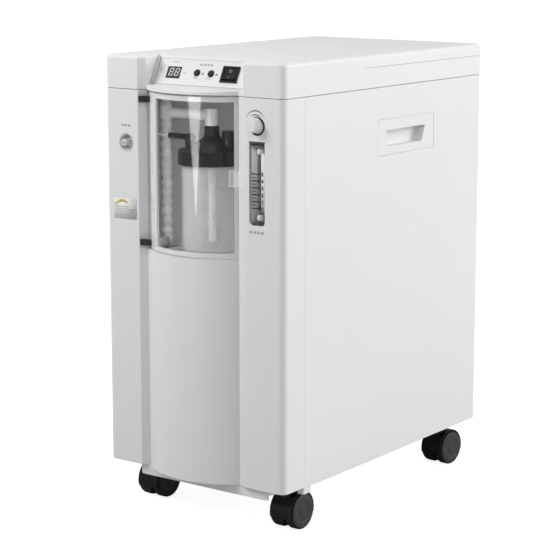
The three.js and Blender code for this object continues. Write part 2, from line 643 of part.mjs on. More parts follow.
addPart("bottle", bottle(), clearPlastic());
addPart("bottle_lid", bottleLid(), blackPlastic());
addPart("relief_valve", turnedUp([
  [0, RELIEF.z + GAP], [RELIEF.r, RELIEF.z + GAP], [RELIEF.r - 0.6, RELIEF.top - 1.5],
  [RELIEF.r - 1.6, RELIEF.top], [0, RELIEF.top],
], 20).translate(RELIEF.x, RELIEF.y, 0), blackPlastic());
addPart("dip_tube", turnedUp(tubeProfile(5.5, 1.5, 379, BOTTLE.top + 0.6), 16)
  .translate(BOTTLE.x, BOTTLE.y, 0), clearPlastic());
addPart("inlet_elbow", inletElbow(), clearPlastic());
addPart("feed_tube", feedTube(), clearPlastic());
const hoseProfile = tubeProfile(HOSE.r, 2, TUB.floor + TUB.wall + GAP, TUB.ceiling - TUB.wall - GAP);
addPart("corrugated_hose", turnedUp(hoseProfile, 16).translate(HOSE.x, HOSE.y, 0), clearPlastic());
addPart("outlet_connector", cut(
  rodX(4, OUTLET.y, OUTLET.z, -64, OUTLET.x - 9, 12),
  rodX(3.4, OUTLET.y, OUTLET.z, -52, OUTLET.x - 8, 12),
), blackPlastic());
const outletTube = rodX(2.2, OUTLET.y, OUTLET.z, TUB.left + TUB.wall + GAP, -64 - GAP, 12);
addPart("outlet_tube", outletTube, clearPlastic());

// ---------------------------------------------------------------- oxygen outlet, flow knob and flowmeter
function outletCup() {
  const { x, z, r } = NOZZLE;
  const profile = [[0, -14], [r, -14], [r, 0], [r - 1.2, 0], [r - 2.2, -10], [r - 3.2, -12], [0, -12]];
  return turnedForward(profile, 28).translate(x, COLUMN_Y, z);
}

function outletNozzle() {
  const { x, z } = NOZZLE;
  const profile = [
    [1.6, -11.6], [6.5, -11.6], [6.5, -8], [4.4, -6], [4.4, 5], [3.6, 6], [1.6, 6], [1.6, -11.6],
  ];
  return turnedForward(profile, 20).translate(x, COLUMN_Y, z);
}

function flowKnob() {
  const { x, z, r, out } = KNOB;
  const profile = [
    [0, -14], [3, -14], [3, 0.5], [r + 0.8, 0.5], [r + 0.8, 2.5], [r, 3],
    [r - 0.3, out - 1.2], [r - 1.5, out], [0, out],
  ];
  return turnedForward(profile, 28).translate(x, COLUMN_Y, z);
}

function flowmeterBlock() {
  const { left, right, bottom, top, boreX, boreY, zero } = METER;
  const body = block(left + GAP, right - GAP, COLUMN_Y + 2, COLUMN_Y + 21, bottom + GAP, top - GAP);
  const corners = [left + GAP, right - GAP].map((x) => prismY(
    [point(x - 4.2, bottom - 1), point(x + 4.2, bottom - 1), point(x + 4.2, bottom + 1.8),
      point(x, bottom + 6), point(x - 4.2, bottom + 1.8)],
    COLUMN_Y - 1, COLUMN_Y + 22));
  const bore = join(
    rodZ(2.4, boreX, boreY, bottom - 1, zero, 12),
    rodZ(4.4, boreX, boreY, zero - 4.5, zero + 70, 16),
  );
  return cut(body, ...corners, bore);
}

addPart("outlet_cup", outletCup(), casingWhite());
addPart("outlet_nozzle", outletNozzle(), casingWhite());
addPart("flow_knob", flowKnob(), casingWhite());
addPart("flowmeter_block", flowmeterBlock(), clearPlastic());
addPart("flowmeter_float", turnedUp([[0, -4], [3.6, -0.8], [3.6, 0.8], [0, 4]], 16)
  .translate(METER.boreX, METER.boreY, METER.zero), blackPlastic());

// ---------------------------------------------------------------- casters
function wheelPair() {
  const { r, inner, outer, axle } = WHEEL;
  const half = [[0, outer], [r - 1.8, outer], [r, outer - 2.5], [r, inner], [axle, inner]];
  const profile = [...half.map(([radius, x]) => [radius, -x]), ...half.toReversed()];
  const facetDown = Math.PI / WHEEL.segments;
  return turned(profile, WHEEL.segments).rotateY(facetDown).rotateZ(-Math.PI / 2);
}

// Origin at the wheel's centre, with the stem WHEEL.trail in front of it.
function casterHood() {
  const clear = WHEEL.r + 0.8;
  const outer = WHEEL.r + 2.3;
  const stemY = -WHEEL.trail;
  const seat = BODY_Z - WHEEL_Z - 0.4;
  const fender = rodX(outer, 0, 0, -17, 17);
  const boss = rodZ(CASTER_BOSS_R, 0, stemY, 0, seat, 20);
  const cover = cut(join(fender, boss), rodX(clear, 0, 0, -30, 30), block(-30, 30, -40, 40, -40, -7));
  const web = cut(rodX(clear + 0.5, 0, 0, -3.4, 3.4), block(-30, 30, -40, 40, -40, -15));
  const stem = rodZ(5.4, 0, stemY, seat - 1, seat + 26, 16);
  return cut(join(cover, web, stem), rodX(WHEEL.axle + 0.5, 0, 0, -10, 10, 16));
}

for (const { name, x, y, turn } of CASTERS) {
  const swivel = new THREE.Group();
  swivel.position.set(x, y, WHEEL_Z);
  swivel.rotation.z = THREE.MathUtils.degToRad(turn);
  object.add(swivel);
  addPart(`caster_${name}_hood`, casterHood(), blackPlastic(), swivel).position.y = WHEEL.trail;
  addPart(`caster_${name}_wheels`, wheelPair(), rubber(), swivel).position.y = WHEEL.trail;
}

// ---------------------------------------------------------------- back of the machine
function filterCover() {
  const f = FILTER.half - GAP;
  const slots = Array.from({ length: 6 }, (_, i) => block(-44, 44, 240, 260, 432 + i * 15, 438 + i * 15));
  return cut(block(-f, f, 251, BACK_Y - 0.2, FILTER.z0 + GAP, FILTER.z1 - GAP), ...slots);
}

function powerInlet() {
  const { x, z, halfWidth, halfHeight } = POWER;
  const front = BACK_Y - 22;
  const body = block(x - halfWidth, x + halfWidth, front, BACK_Y - 0.4, z - halfHeight, z + halfHeight);
  const cavity = block(x - 12, x + 12, front + 6, BACK_Y + 1, z - 8, z + 8);
  const pins = [-7, 0, 7].map((side) => block(x + side - 1, x + side + 1, front + 5, BACK_Y - 4, z - 5, z));
  return join(cut(body, cavity), ...pins);
}

addPart("filter_cover", filterCover(), casingWhite());
addPart("filter_foam", block(-53, 53, 239, 250.6, FILTER.z0 + 2, FILTER.z1 - 2), rubber());
addPart("power_inlet", powerInlet(), blackPlastic());

// ---------------------------------------------------------------- compressor
function compressorMotor() {
  const { x, y, z, r } = COMPRESSOR;
  const body = rodY(r, x, z, y - 62, y + 62, 28);
  const bands = [-48, 48].map((offset) => rodY(r + 5, x, z, y + offset - 8, y + offset + 8, 28));
  const feet = [-48, 48].map((offset) => block(x - 42, x + 42, y + offset - 8, y + offset + 8, 86, z));
  return join(body, ...bands, ...feet);
}

// One head at each end of the motor: side is -1 at the front, 1 at the rear.
function compressorHead(side) {
  const { x, y } = COMPRESSOR;
  const [y0, y1] = [62 + GAP, 112 + GAP].map((offset) => y + side * offset).sort((a, b) => a - b);
  const crankcase = block(x - 34, x + 34, y0, y1, 104, 178);
  const fins = Array.from({ length: 4 }, (_, i) => block(x - 40, x + 40, y0, y1, 181 + i * 9, 186 + i * 9));
  const core = block(x - 28, x + 28, y0 + 4, y1 - 4, 177, 214);
  return join(crankcase, core, ...fins);
}

function compressorCradle() {
  const { x, y } = COMPRESSOR;
  const plate = block(x - 60, x + 60, y - 66, y + 66, 80, 85.4);
  const feet = [[-48, -52], [48, -52], [-48, 52], [48, 52]].map(([dx, dy]) => (
    rodZ(10, x + dx, y + dy, TRAY.bottom + 2.4, 81, 16)));
  return join(plate, ...feet);
}

addPart("compressor_motor", compressorMotor(), castMetal());
addPart("compressor_head_front", compressorHead(-1), castMetal());
addPart("compressor_head_rear", compressorHead(1), castMetal());
addPart("compressor_cradle", compressorCradle(), rubber());

// ---------------------------------------------------------------- gas circuit
function sieveColumn(x) {
  const profile = [[0, 68], [38, 68], [38, 80], [34, 80], [34, 408], [38, 408], [38, 420], [0, 420]];
  return turnedUp(profile, 24).translate(x, 190, 0);
}

function coolingCoil() {
  const r = 38;
  const turns = 3;
  const pitch = 14;
  class Helix extends THREE.Curve {
    getPoint(t, target = new THREE.Vector3()) {
      const angle = t * turns * 2 * Math.PI;
      return target.set(FAN.x + r * Math.cos(angle), -165 + t * turns * pitch, FAN.z + r * Math.sin(angle));
    }
  }
  const section = new THREE.Shape(arc(0, 0, 4, 0, 300, 5));
  const options = { steps: turns * 16, bevelEnabled: false, extrudePath: new Helix() };
  return new THREE.ExtrudeGeometry(section, options);
}

function valveBlock() {
  const manifoldBlock = block(-98, 98, 170, 210, 420.6, 446);
  const coils = [-60, -20, 20, 60].map((x) => rodZ(12, x, 190, 445, 474, 16));
  return join(manifoldBlock, ...coils);
}

addPart("sieve_column_left", sieveColumn(-60), castMetal());
addPart("sieve_column_right", sieveColumn(60), castMetal());
addPart("product_tank", rodZ(18, 0, 190, 228, 400, 20), castMetal());
addPart("valve_block", valveBlock(), castMetal());
addPart("cooling_coil", coolingCoil(), castMetal());

// ---------------------------------------------------------------- cooling fan
function fanFrame() {
  const { x, y, z, half, thickness } = FAN;
  const frame = cut(
    block(x - half, x + half, y, y + thickness, z - half, z + half),
    rodY(half - 4, x, z, y - 1, y + thickness + 1, 32),
  );
  const strut = block(x - half + 1, x + half - 1, y + thickness - 3, y + thickness, z - 4, z + 4);
  return join(frame, strut);
}

function fanRotor() {
  const { x, y, z, half, thickness, blades } = FAN;
  const hub = rodY(20, x, z, y + 2, y + thickness - 5, 20);
  const blade = block(-1, 1, y + 5, y + thickness - 7, 17, half - 6);
  const ring = Array.from({ length: blades }, (_, i) => (
    blade.clone().rotateY((i / blades) * 2 * Math.PI).translate(x, 0, z)));
  return join(hub, ...ring);
}

addPart("fan_frame", fanFrame(), blackPlastic());
addPart("fan_rotor", fanRotor(), blackPlastic());

// ---------------------------------------------------------------- electrics
function controlBoard() {
  const board = block(-143, -141.2, -60, 70, 250, 400);
  const transformer = block(-141.4, -112, -40, 0, 262, 300);
  const relays = [320, 350].map((z) => block(-141.4, -124, -40, -14, z, z + 18));
  return join(board, transformer, ...relays);
}

addPart("control_board", controlBoard(), finish(0x1f6b45, 0.5));
addPart("start_capacitor", rodZ(20, -92, 20, BODY_Z + 3.4, 150, 24), blackPlastic());

export default object;
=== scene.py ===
"""An upright oxygen concentrator: fine surfaces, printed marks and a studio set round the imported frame.

Lengths are in metres, and MM turns millimetres into them. The front faces -Y and +Z is up.
"""

import json
import math

import bmesh
import bpy
from mathutils import Matrix, Vector

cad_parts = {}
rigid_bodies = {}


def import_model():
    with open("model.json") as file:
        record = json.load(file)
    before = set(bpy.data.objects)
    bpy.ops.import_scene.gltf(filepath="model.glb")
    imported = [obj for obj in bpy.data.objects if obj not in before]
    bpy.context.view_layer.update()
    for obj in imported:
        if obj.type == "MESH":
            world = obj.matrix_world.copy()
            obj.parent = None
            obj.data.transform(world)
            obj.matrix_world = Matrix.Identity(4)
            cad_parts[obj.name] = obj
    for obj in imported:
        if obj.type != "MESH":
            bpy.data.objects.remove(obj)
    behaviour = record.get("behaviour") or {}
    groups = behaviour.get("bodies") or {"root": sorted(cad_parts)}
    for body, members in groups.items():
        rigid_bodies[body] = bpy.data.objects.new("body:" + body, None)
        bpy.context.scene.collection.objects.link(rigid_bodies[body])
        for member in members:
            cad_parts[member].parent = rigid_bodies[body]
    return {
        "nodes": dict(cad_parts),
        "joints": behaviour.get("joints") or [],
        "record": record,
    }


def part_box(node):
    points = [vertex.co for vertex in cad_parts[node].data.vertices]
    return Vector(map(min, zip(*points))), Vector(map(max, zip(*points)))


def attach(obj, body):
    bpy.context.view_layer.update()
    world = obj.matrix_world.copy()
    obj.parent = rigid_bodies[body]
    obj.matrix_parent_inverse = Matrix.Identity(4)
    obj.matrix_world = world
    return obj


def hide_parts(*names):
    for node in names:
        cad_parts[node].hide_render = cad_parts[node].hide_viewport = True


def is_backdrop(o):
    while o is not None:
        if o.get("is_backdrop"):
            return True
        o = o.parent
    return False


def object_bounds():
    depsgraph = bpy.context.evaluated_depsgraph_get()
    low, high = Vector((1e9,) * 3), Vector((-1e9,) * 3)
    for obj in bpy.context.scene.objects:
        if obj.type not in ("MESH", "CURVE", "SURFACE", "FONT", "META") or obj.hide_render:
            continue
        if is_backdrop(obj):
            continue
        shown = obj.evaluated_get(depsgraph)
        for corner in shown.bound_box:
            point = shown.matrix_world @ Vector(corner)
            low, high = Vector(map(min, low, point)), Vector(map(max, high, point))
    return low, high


for leftover in list(bpy.data.objects):
    bpy.data.objects.remove(leftover)

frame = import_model()
cad_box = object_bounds()

MM = 0.001
NODES = frame["nodes"]
JOINTS = {joint["name"]: joint for joint in frame["joints"]}


# ---------------------------------------------------------------- camera and studio
# The photograph's viewpoint: where the camera stands, and how it is turned, in degrees.
CAMERA_PLACE = (1.5321, -2.1239, 0.8038)
CAMERA_AZIMUTH = 36.371
CAMERA_DOWN = 10.014
CAMERA_LENS = 121.23
CAMERA_SHIFT = -0.05
SENSOR_WIDTH = 36.0
FAR_CLIP = 200


def make_camera():
    data = bpy.data.cameras.new("camera")
    data.lens = CAMERA_LENS
    data.sensor_width = SENSOR_WIDTH
    data.shift_y = CAMERA_SHIFT
    data.clip_end = FAR_CLIP
    camera = bpy.data.objects.new("camera", data)
    camera.location = CAMERA_PLACE
    camera.rotation_euler = (math.radians(90 - CAMERA_DOWN), 0, math.radians(CAMERA_AZIMUTH))
    bpy.context.scene.collection.objects.link(camera)
    bpy.context.scene.camera = camera


def softbox(name, place, target, size, power):
    """A rectangular area light, size = (width, height), that faces its target."""
    data = bpy.data.lights.new(name, "AREA")
    data.shape = "RECTANGLE"
    data.size, data.size_y = size
    data.energy = power
    light = bpy.data.objects.new(name, data)
    light.location = place
    towards = Vector(target) - Vector(place)
    light.rotation_euler = towards.to_track_quat("-Z", "Y").to_euler()
    bpy.context.scene.collection.objects.link(light)
    return light


def switch(tree, ray_kind, value, otherwise=0.0):
    """A node that gives value to one kind of ray, and otherwise (a number or a node's output) to the rest."""
    ray = tree.nodes.new("ShaderNodeLightPath")
    level = tree.nodes.new("ShaderNodeMapRange")
    level.inputs["To Max"].default_value = value
    if isinstance(otherwise, (int, float)):
        level.inputs["To Min"].default_value = otherwise
    else:
        tree.links.new(otherwise, level.inputs["To Min"])
    tree.links.new(ray.outputs[ray_kind], level.inputs["Value"])
    return level.outputs["Result"]


def make_world(fill=0.91, reflected=0.6):
    """A white backdrop, an even pale surround for reflections, and a fill that is strongest from behind."""
    world = bpy.data.worlds.new("studio")
    world.use_nodes = True
    tree = world.node_tree
    background = tree.nodes["Background"]
    background.inputs["Color"].default_value = (1, 1, 1, 1)
    direction = tree.nodes.new("ShaderNodeTexCoord")
    split = tree.nodes.new("ShaderNodeSeparateXYZ")
    from_behind = tree.nodes.new("ShaderNodeMapRange")
    from_behind.inputs["From Min"].default_value = -1.0
    from_behind.inputs["To Max"].default_value = fill
    tree.links.new(direction.outputs["Generated"], split.inputs["Vector"])
    tree.links.new(split.outputs["Y"], from_behind.inputs["Value"])
    mirrored = switch(tree, "Is Glossy Ray", reflected, from_behind.outputs["Result"])
    tree.links.new(switch(tree, "Is Camera Ray", 1.0, mirrored), background.inputs["Strength"])
    bpy.context.scene.world = world


FLOOR_HALF = 60.0
FLOOR_GREY = 0.5
FLOOR_SEEN = 0.885


def make_floor():
    """A pale floor that the camera sees as nearly white, with a faint shadow under the machine."""
    corners = rectangle(-FLOOR_HALF, FLOOR_HALF, -FLOOR_HALF, FLOOR_HALF)
    mesh = bpy.data.meshes.new("floor")
    mesh.from_pydata([(x, y, 0) for x, y in corners], [], [(0, 1, 2, 3)])
    floor = bpy.data.objects.new("floor", mesh)
    material = bpy.data.materials.new("studio_floor")
    material.use_nodes = True
    tree = material.node_tree
    shader = tree.nodes["Principled BSDF"]
    shader.inputs["Base Color"].default_value = (FLOOR_GREY, FLOOR_GREY, FLOOR_GREY, 1)
    shader.inputs["Roughness"].default_value = 0.9
    shader.inputs["Specular IOR Level"].default_value = 0.1
    shader.inputs["Emission Color"].default_value = (1, 1, 1, 1)
    tree.links.new(switch(tree, "Is Camera Ray", FLOOR_SEEN), shader.inputs["Emission Strength"])
    mesh.materials.append(material)
    bpy.context.scene.collection.objects.link(floor)
    floor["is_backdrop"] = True


CARD_CORNERS = [(-0.80, -2.09, 0.41), (-0.08, -2.24, 0.41), (-0.38, -2.19, 0.108)]
CARD_GLOW = 7.0


def make_reflection_card():
    """A bright tapering card, seen only where glossy surfaces reflect it: the streak down the clear door."""
    mesh = bpy.data.meshes.new("reflection_card")
    mesh.from_pydata(CARD_CORNERS, [], [(0, 1, 2)])
    card = bpy.data.objects.new("reflection_card", mesh)
    material = bpy.data.materials.new("reflection_card")
    material.use_nodes = True
    shader = material.node_tree.nodes["Principled BSDF"]
    shader.inputs["Base Color"].default_value = (0, 0, 0, 1)
    shader.inputs["Emission Color"].default_value = (1, 1, 1, 1)
    shader.inputs["Emission Strength"].default_value = CARD_GLOW
    mesh.materials.append(material)
    bpy.context.scene.collection.objects.link(card)
    card.visible_camera = False
    card.visible_diffuse = False
    card.visible_shadow = False
    card.visible_transmission = False
    card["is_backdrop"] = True


MIDDLE = (0, 0, 0.35)
FRONT_MIDDLE = (0, -0.2, 0.4)
DOOR_MIDDLE = (0, -0.2, 0.5)
FRONT_TOP = (0, -0.2, 0.6)
# Each softbox's place, target, size and power in watts, and whether glossy surfaces reflect it.
SOFTBOXES = {
    "key_right": ((2.6, 0.2, 1.5), MIDDLE, (1.6, 1.8), 18.5, True),
    "right_rear": ((2.0, 1.6, 1.3), MIDDLE, (1.2, 1.6), 30, True),
    "upper_left": ((-1.0, -1.2, 1.6), FRONT_MIDDLE, (0.8, 0.8), 19, False),
    "front_left": ((-1.2, -1.8, 1.5), FRONT_TOP, (0.9, 0.9), 7.2, False),
    "front_right": ((0.8, -1.5, 1.35), FRONT_TOP, (0.6, 0.6), 4.6, False),
}


def make_studio():
    bpy.context.scene.view_settings.view_transform = "Standard"
    make_world()
    make_floor()
    make_reflection_card()
    for name, (place, target, size, power, reflected) in SOFTBOXES.items():
        softbox(name, place, target, size, power).visible_glossy = reflected


COMPARTMENT = (
    "compartment_tub", "corrugated_hose", "feed_tube", "inlet_elbow", "bottle", "bottle_lid", "relief_valve",
    "dip_tube", "outlet_connector", "outlet_tube",
)


def make_compartment_fill(hose):
    """A soft light that reaches only what stands behind the clear door."""
    light = softbox("compartment_fill", (0.9, -1.7, 0.75), DOOR_MIDDLE, (0.6, 0.6), 8)
    light.visible_glossy = False
    lit = bpy.data.collections.new("behind_the_door")
    for thing in (*(NODES[name] for name in COMPARTMENT), hose):
        lit.objects.link(thing)
    light.light_linking.receiver_collection = lit


# ---------------------------------------------------------------- materials
def darker(color, amount):
    return tuple(channel * (1 - amount) for channel in color)


class Nodes:
    """A material's node tree, with short ways to add what these finishes share."""

    def __init__(self, name):
        self.material = bpy.data.materials.new(name)
        self.material.use_nodes = True
        self.tree = self.material.node_tree
        self.shader = self.tree.nodes["Principled BSDF"]
        self.place = self.add("ShaderNodeTexCoord").outputs["Object"]

    def add(self, kind, links=None, **values):
        node = self.tree.nodes.new(kind)
        for socket, value in values.items():
            node.inputs[socket.replace("_", " ")].default_value = value
        for socket, source in (links or {}).items():
            self.tree.links.new(source, node.inputs[socket])
        return node

    def set(self, **values):
        for socket, value in values.items():
            self.shader.inputs[socket.replace("_", " ")].default_value = value

    def link(self, source, socket):
        self.tree.links.new(source, self.shader.inputs[socket])

    def noise(self, size, detail=3, roughness=0.5):
        node = self.add("ShaderNodeTexNoise", {"Vector": self.place}, Scale=1 / size, Detail=detail)
        node.inputs["Roughness"].default_value = roughness
        return node.outputs["Fac"]

    def ramp(self, source, stops):
        node = self.add("ShaderNodeValToRGB", {"Fac": source})
        elements = node.color_ramp.elements
        for element, (position, color) in zip(elements, stops):
            element.position = position
            element.color = (*color, 1)
        for position, color in stops[2:]:
            elements.new(position).color = (*color, 1)
        return node.outputs["Color"]

    def span(self, source, low, high):
        ends = {"From_Min": 0.3, "From_Max": 0.7, "To_Min": low, "To_Max": high}
        return self.add("ShaderNodeMapRange", {"Value": source}, **ends).outputs["Result"]

    def math(self, operation, first, second):
        """A Math node: each of its two inputs is either a number or another node's output."""
        node = self.tree.nodes.new("ShaderNodeMath")
        node.operation = operation
        for socket, value in zip(node.inputs, (first, second)):
            if isinstance(value, (int, float)):
                socket.default_value = value
            else:
                self.tree.links.new(value, socket)
        return node.outputs["Value"]

    def bump(self, source, depth, strength=1.0):
        node = self.add("ShaderNodeBump", {"Height": source}, Strength=strength, Distance=depth)
        return node.outputs["Normal"]


def moulded(name, color, roughness, drift=0.03, gloss=0.06, grain=0.0012, depth=0.00001, **shader):
    """Moulded plastic: the shade drifts slightly, the gloss is uneven, and the surface is finely pebbled."""
    nodes = Nodes(name)
    nodes.set(**shader)
    nodes.link(nodes.ramp(nodes.noise(0.09), [(0.35, darker(color, drift)), (0.65, color)]), "Base Color")
    nodes.link(nodes.span(nodes.noise(0.025, detail=5), roughness - gloss, roughness + gloss), "Roughness")
    nodes.link(nodes.bump(nodes.noise(grain, detail=2), depth), "Normal")
    return nodes.material


def clear(name, color, faint, strong, roughness=0.06, haze=0.06, sharpness=1.0, **shader):
    """Clear plastic: almost unseen face on, and denser towards glancing angles and along its edges.

    sharpness narrows that rim, and haze clouds the plastic unevenly.
    """
    nodes = Nodes(name)
    nodes.set(IOR=1.49, **shader)
    nodes.link(nodes.ramp(nodes.noise(0.06), [(0.3, darker(color, 0.04)), (0.7, color)]), "Base Color")
    nodes.link(nodes.span(nodes.noise(0.012, detail=6), roughness * 0.7, roughness * 1.5), "Roughness")
    facing = nodes.add("ShaderNodeLayerWeight", Blend=0.35).outputs["Facing"]
    rim = nodes.math("POWER", facing, sharpness)
    density = nodes.add("ShaderNodeMapRange", {"Value": rim}, To_Min=faint, To_Max=strong)
    cloud = nodes.math("MULTIPLY", nodes.noise(0.03), haze)
    seen = nodes.math("ADD", density.outputs["Result"], cloud)
    lit_through = switch(nodes.tree, "Is Shadow Ray", 0.15, 1.0)
    nodes.link(nodes.math("MULTIPLY", seen, lit_through), "Alpha")
    return nodes.material


def metal(name, color, roughness, streak=None, **shader):
    """Bare metal. A streak stretches the grain along one axis, as on ground or drawn stock."""
    nodes = Nodes(name)
    nodes.set(Metallic=1.0, **shader)
    scale = nodes.add("ShaderNodeMapping", {"Vector": nodes.place}).inputs["Scale"]
    scale.default_value = streak or (1, 1, 1)
    nodes.place = scale.node.outputs["Vector"]
    grain = nodes.noise(0.01, detail=6)
    nodes.link(nodes.ramp(grain, [(0.3, darker(color, 0.25)), (0.7, color)]), "Base Color")
    nodes.link(nodes.span(nodes.noise(0.004, detail=5), roughness - 0.1, roughness + 0.12), "Roughness")
    nodes.link(nodes.bump(nodes.noise(0.0015, detail=4), 0.00008), "Normal")
    return nodes.material


def foam(name, color):
    """Open-cell foam: a mass of small dark pores."""
    nodes = Nodes(name)
    cells = nodes.add("ShaderNodeTexVoronoi", {"Vector": nodes.place}, Scale=550.0).outputs["Distance"]
    nodes.link(nodes.ramp(cells, [(0.15, darker(color, 0.85)), (0.6, color)]), "Base Color")
    nodes.link(nodes.span(nodes.noise(0.005), 0.85, 0.98), "Roughness")
    nodes.link(nodes.bump(cells, 0.0006), "Normal")
    return nodes.material


def circuit_board(name):
    """Green solder mask with paler copper tracks showing through."""
    nodes = Nodes(name)
    tracks = nodes.add("ShaderNodeTexBrick", {"Vector": nodes.place}, Scale=160.0)
    tracks.inputs["Color1"].default_value = (0.015, 0.13, 0.06, 1)
    tracks.inputs["Color2"].default_value = (0.02, 0.16, 0.075, 1)
    tracks.inputs["Mortar"].default_value = (0.05, 0.27, 0.13, 1)
    nodes.link(tracks.outputs["Color"], "Base Color")
    nodes.link(nodes.span(nodes.noise(0.006), 0.25, 0.45), "Roughness")
    nodes.link(nodes.bump(tracks.outputs["Fac"], 0.00006), "Normal")
    return nodes.material


WHITE = (0.80, 0.80, 0.815)
CLEAR_TINT = (0.88, 0.88, 0.89)
LOOKS = {
    "casing_white": moulded("casing_white_look", WHITE, 0.36, drift=0.012, gloss=0.015),
    "cover_white": moulded("cover_white_look", (0.81, 0.81, 0.825), 0.36, drift=0.012, gloss=0.015,
                           depth=0.000004),
    "compartment_grey": moulded("compartment_look", (0.74, 0.74, 0.745), 0.5, drift=0.05),
    "door_clear": clear("door_clear_look", CLEAR_TINT, 0.03, 0.35, roughness=0.03, haze=0.01, sharpness=2.5,
                        Metallic=0.85),
    "door_white": moulded("door_white_look", (0.82, 0.82, 0.83), 0.3, drift=0.02),
    "hinge_black": moulded("hinge_black_look", (0.02, 0.02, 0.022), 0.4, drift=0.2, Specular_IOR_Level=0.4),
    "console_white": moulded("console_look", (0.79, 0.79, 0.8), 0.42, drift=0.01, gloss=0.015,
                             depth=0.000005),
    "display_dark": moulded("display_look", (0.05, 0.05, 0.053), 0.25, drift=0.1, Specular_IOR_Level=0.3),
    "button_grey": moulded("button_look", (0.015, 0.015, 0.016), 0.3, drift=0.1),
    "switch_black": moulded("switch_look", (0.01, 0.01, 0.011), 0.3, drift=0.2, Specular_IOR_Level=0.4),
    "knob_white": moulded("knob_look", (0.8, 0.8, 0.81), 0.34, drift=0.02),
    "meter_clear": clear("meter_clear_look", (0.8, 0.81, 0.82), 0.01, 0.3, haze=0.01, sharpness=3.0),
    "float_black": moulded("float_look", (0.01, 0.01, 0.01), 0.2, drift=0.2),
    "outlet_white": moulded("outlet_look", (0.74, 0.74, 0.75), 0.35, drift=0.03),
    "bottle_clear": clear("bottle_look", (0.88, 0.88, 0.885), 0.24, 0.42, roughness=0.15, haze=0.1),
    "lid_black": moulded("lid_black_look", (0.003, 0.003, 0.0032), 0.2, drift=0.15, gloss=0.03),
    "tube_clear": clear("tube_look", (0.95, 0.95, 0.96), 0.8, 0.97, roughness=0.1),
    "hose_clear": clear("hose_look", (0.9, 0.9, 0.905), 0.7, 0.95, roughness=0.25),
    "pan_grey": moulded("pan_look", (0.85, 0.85, 0.855), 0.5, drift=0.1, gloss=0.1, grain=0.0016,
                        depth=0.0001),
    "caster_black": moulded("caster_black_look", (0.006, 0.006, 0.0065), 0.35, drift=0.2,
                            Specular_IOR_Level=0.25),
    "wheel_grey": moulded("wheel_grey_look", (0.045, 0.045, 0.048), 0.42, drift=0.12, Specular_IOR_Level=0.3),
    "steel": metal("steel_look", (0.6, 0.6, 0.61), 0.3, streak=(0.05, 1, 1)),
    "cast_aluminium": metal("cast_aluminium_look", (0.6, 0.61, 0.62), 0.5),
    "column_shell": moulded("column_shell_look", (0.66, 0.67, 0.68), 0.4, drift=0.05),
    "coil_copper": metal("coil_copper_look", (0.75, 0.42, 0.27), 0.32),
    "mount_rubber": moulded("mount_rubber_look", (0.02, 0.02, 0.02), 0.8, drift=0.3, gloss=0.1),
    "fan_black": moulded("fan_look", (0.02, 0.02, 0.022), 0.45, drift=0.2),
    "board_green": circuit_board("board_look"),
    "capacitor_grey": metal("capacitor_look", (0.52, 0.53, 0.55), 0.38, streak=(1, 1, 0.1)),
    "foam_grey": foam("foam_look", (0.09, 0.09, 0.095)),
    "inlet_black": moulded("inlet_look", (0.02, 0.02, 0.021), 0.5, drift=0.2),
}
TYRE = moulded("tyre_look", (0.007, 0.007, 0.007), 0.55, drift=0.3, gloss=0.08, grain=0.0014, depth=0.0001,
               Specular_IOR_Level=0.3)
PRINT = moulded("print_grey_look", (0.16, 0.16, 0.17), 0.45, drift=0.15)
PRINT_PALE = moulded("print_pale_look", (0.52, 0.52, 0.54), 0.45, drift=0.06)
DIGIT = moulded("digit_look", (0.68, 0.7, 0.68), 0.4, Emission_Color=(0.8, 0.82, 0.8, 1),
                Emission_Strength=0.05)
PRINT_BLACK = moulded("print_black_look", (0.02, 0.02, 0.021), 0.45, drift=0.15)
PULL_TAB = clear("pull_tab_look", (1.0, 1.0, 1.0), 0.1, 1.0, roughness=0.05, haze=0.04)
LABEL = moulded("label_look", (0.83, 0.82, 0.78), 0.5, drift=0.04)
GOLD = moulded("gold_look", (0.72, 0.5, 0.12), 0.4, drift=0.15)
SCREW = metal("screw_look", (0.55, 0.55, 0.56), 0.28)


# ---------------------------------------------------------------- fine surfaces on the CAD nodes
SHARP_ANGLE = math.radians(32)
PLANAR_ANGLE = math.radians(0.6)
WELD_DISTANCE = 0.01


def geometry_group(name):
    """An empty geometry node group with one geometry in and one out."""
    group = bpy.data.node_groups.new(name, "GeometryNodeTree")
    group.interface.new_socket("Geometry", in_out="INPUT", socket_type="NodeSocketGeometry")
    group.interface.new_socket("Geometry", in_out="OUTPUT", socket_type="NodeSocketGeometry")
    return group, group.nodes.new("NodeGroupInput"), group.nodes.new("NodeGroupOutput")


def weld_group():
    """Joins the corners of neighbouring triangles and drops their stored normals."""
    group, start, end = geometry_group("weld")
    weld = group.nodes.new("GeometryNodeMergeByDistance")
    weld.inputs["Distance"].default_value = WELD_DISTANCE * MM
    bare = group.nodes.new("GeometryNodeRemoveAttribute")
    bare.inputs["Name"].default_value = "custom_normal"
    group.links.new(start.outputs[0], weld.inputs["Geometry"])
    group.links.new(weld.outputs["Geometry"], bare.inputs["Geometry"])
    group.links.new(bare.outputs["Geometry"], end.inputs[0])
    return group


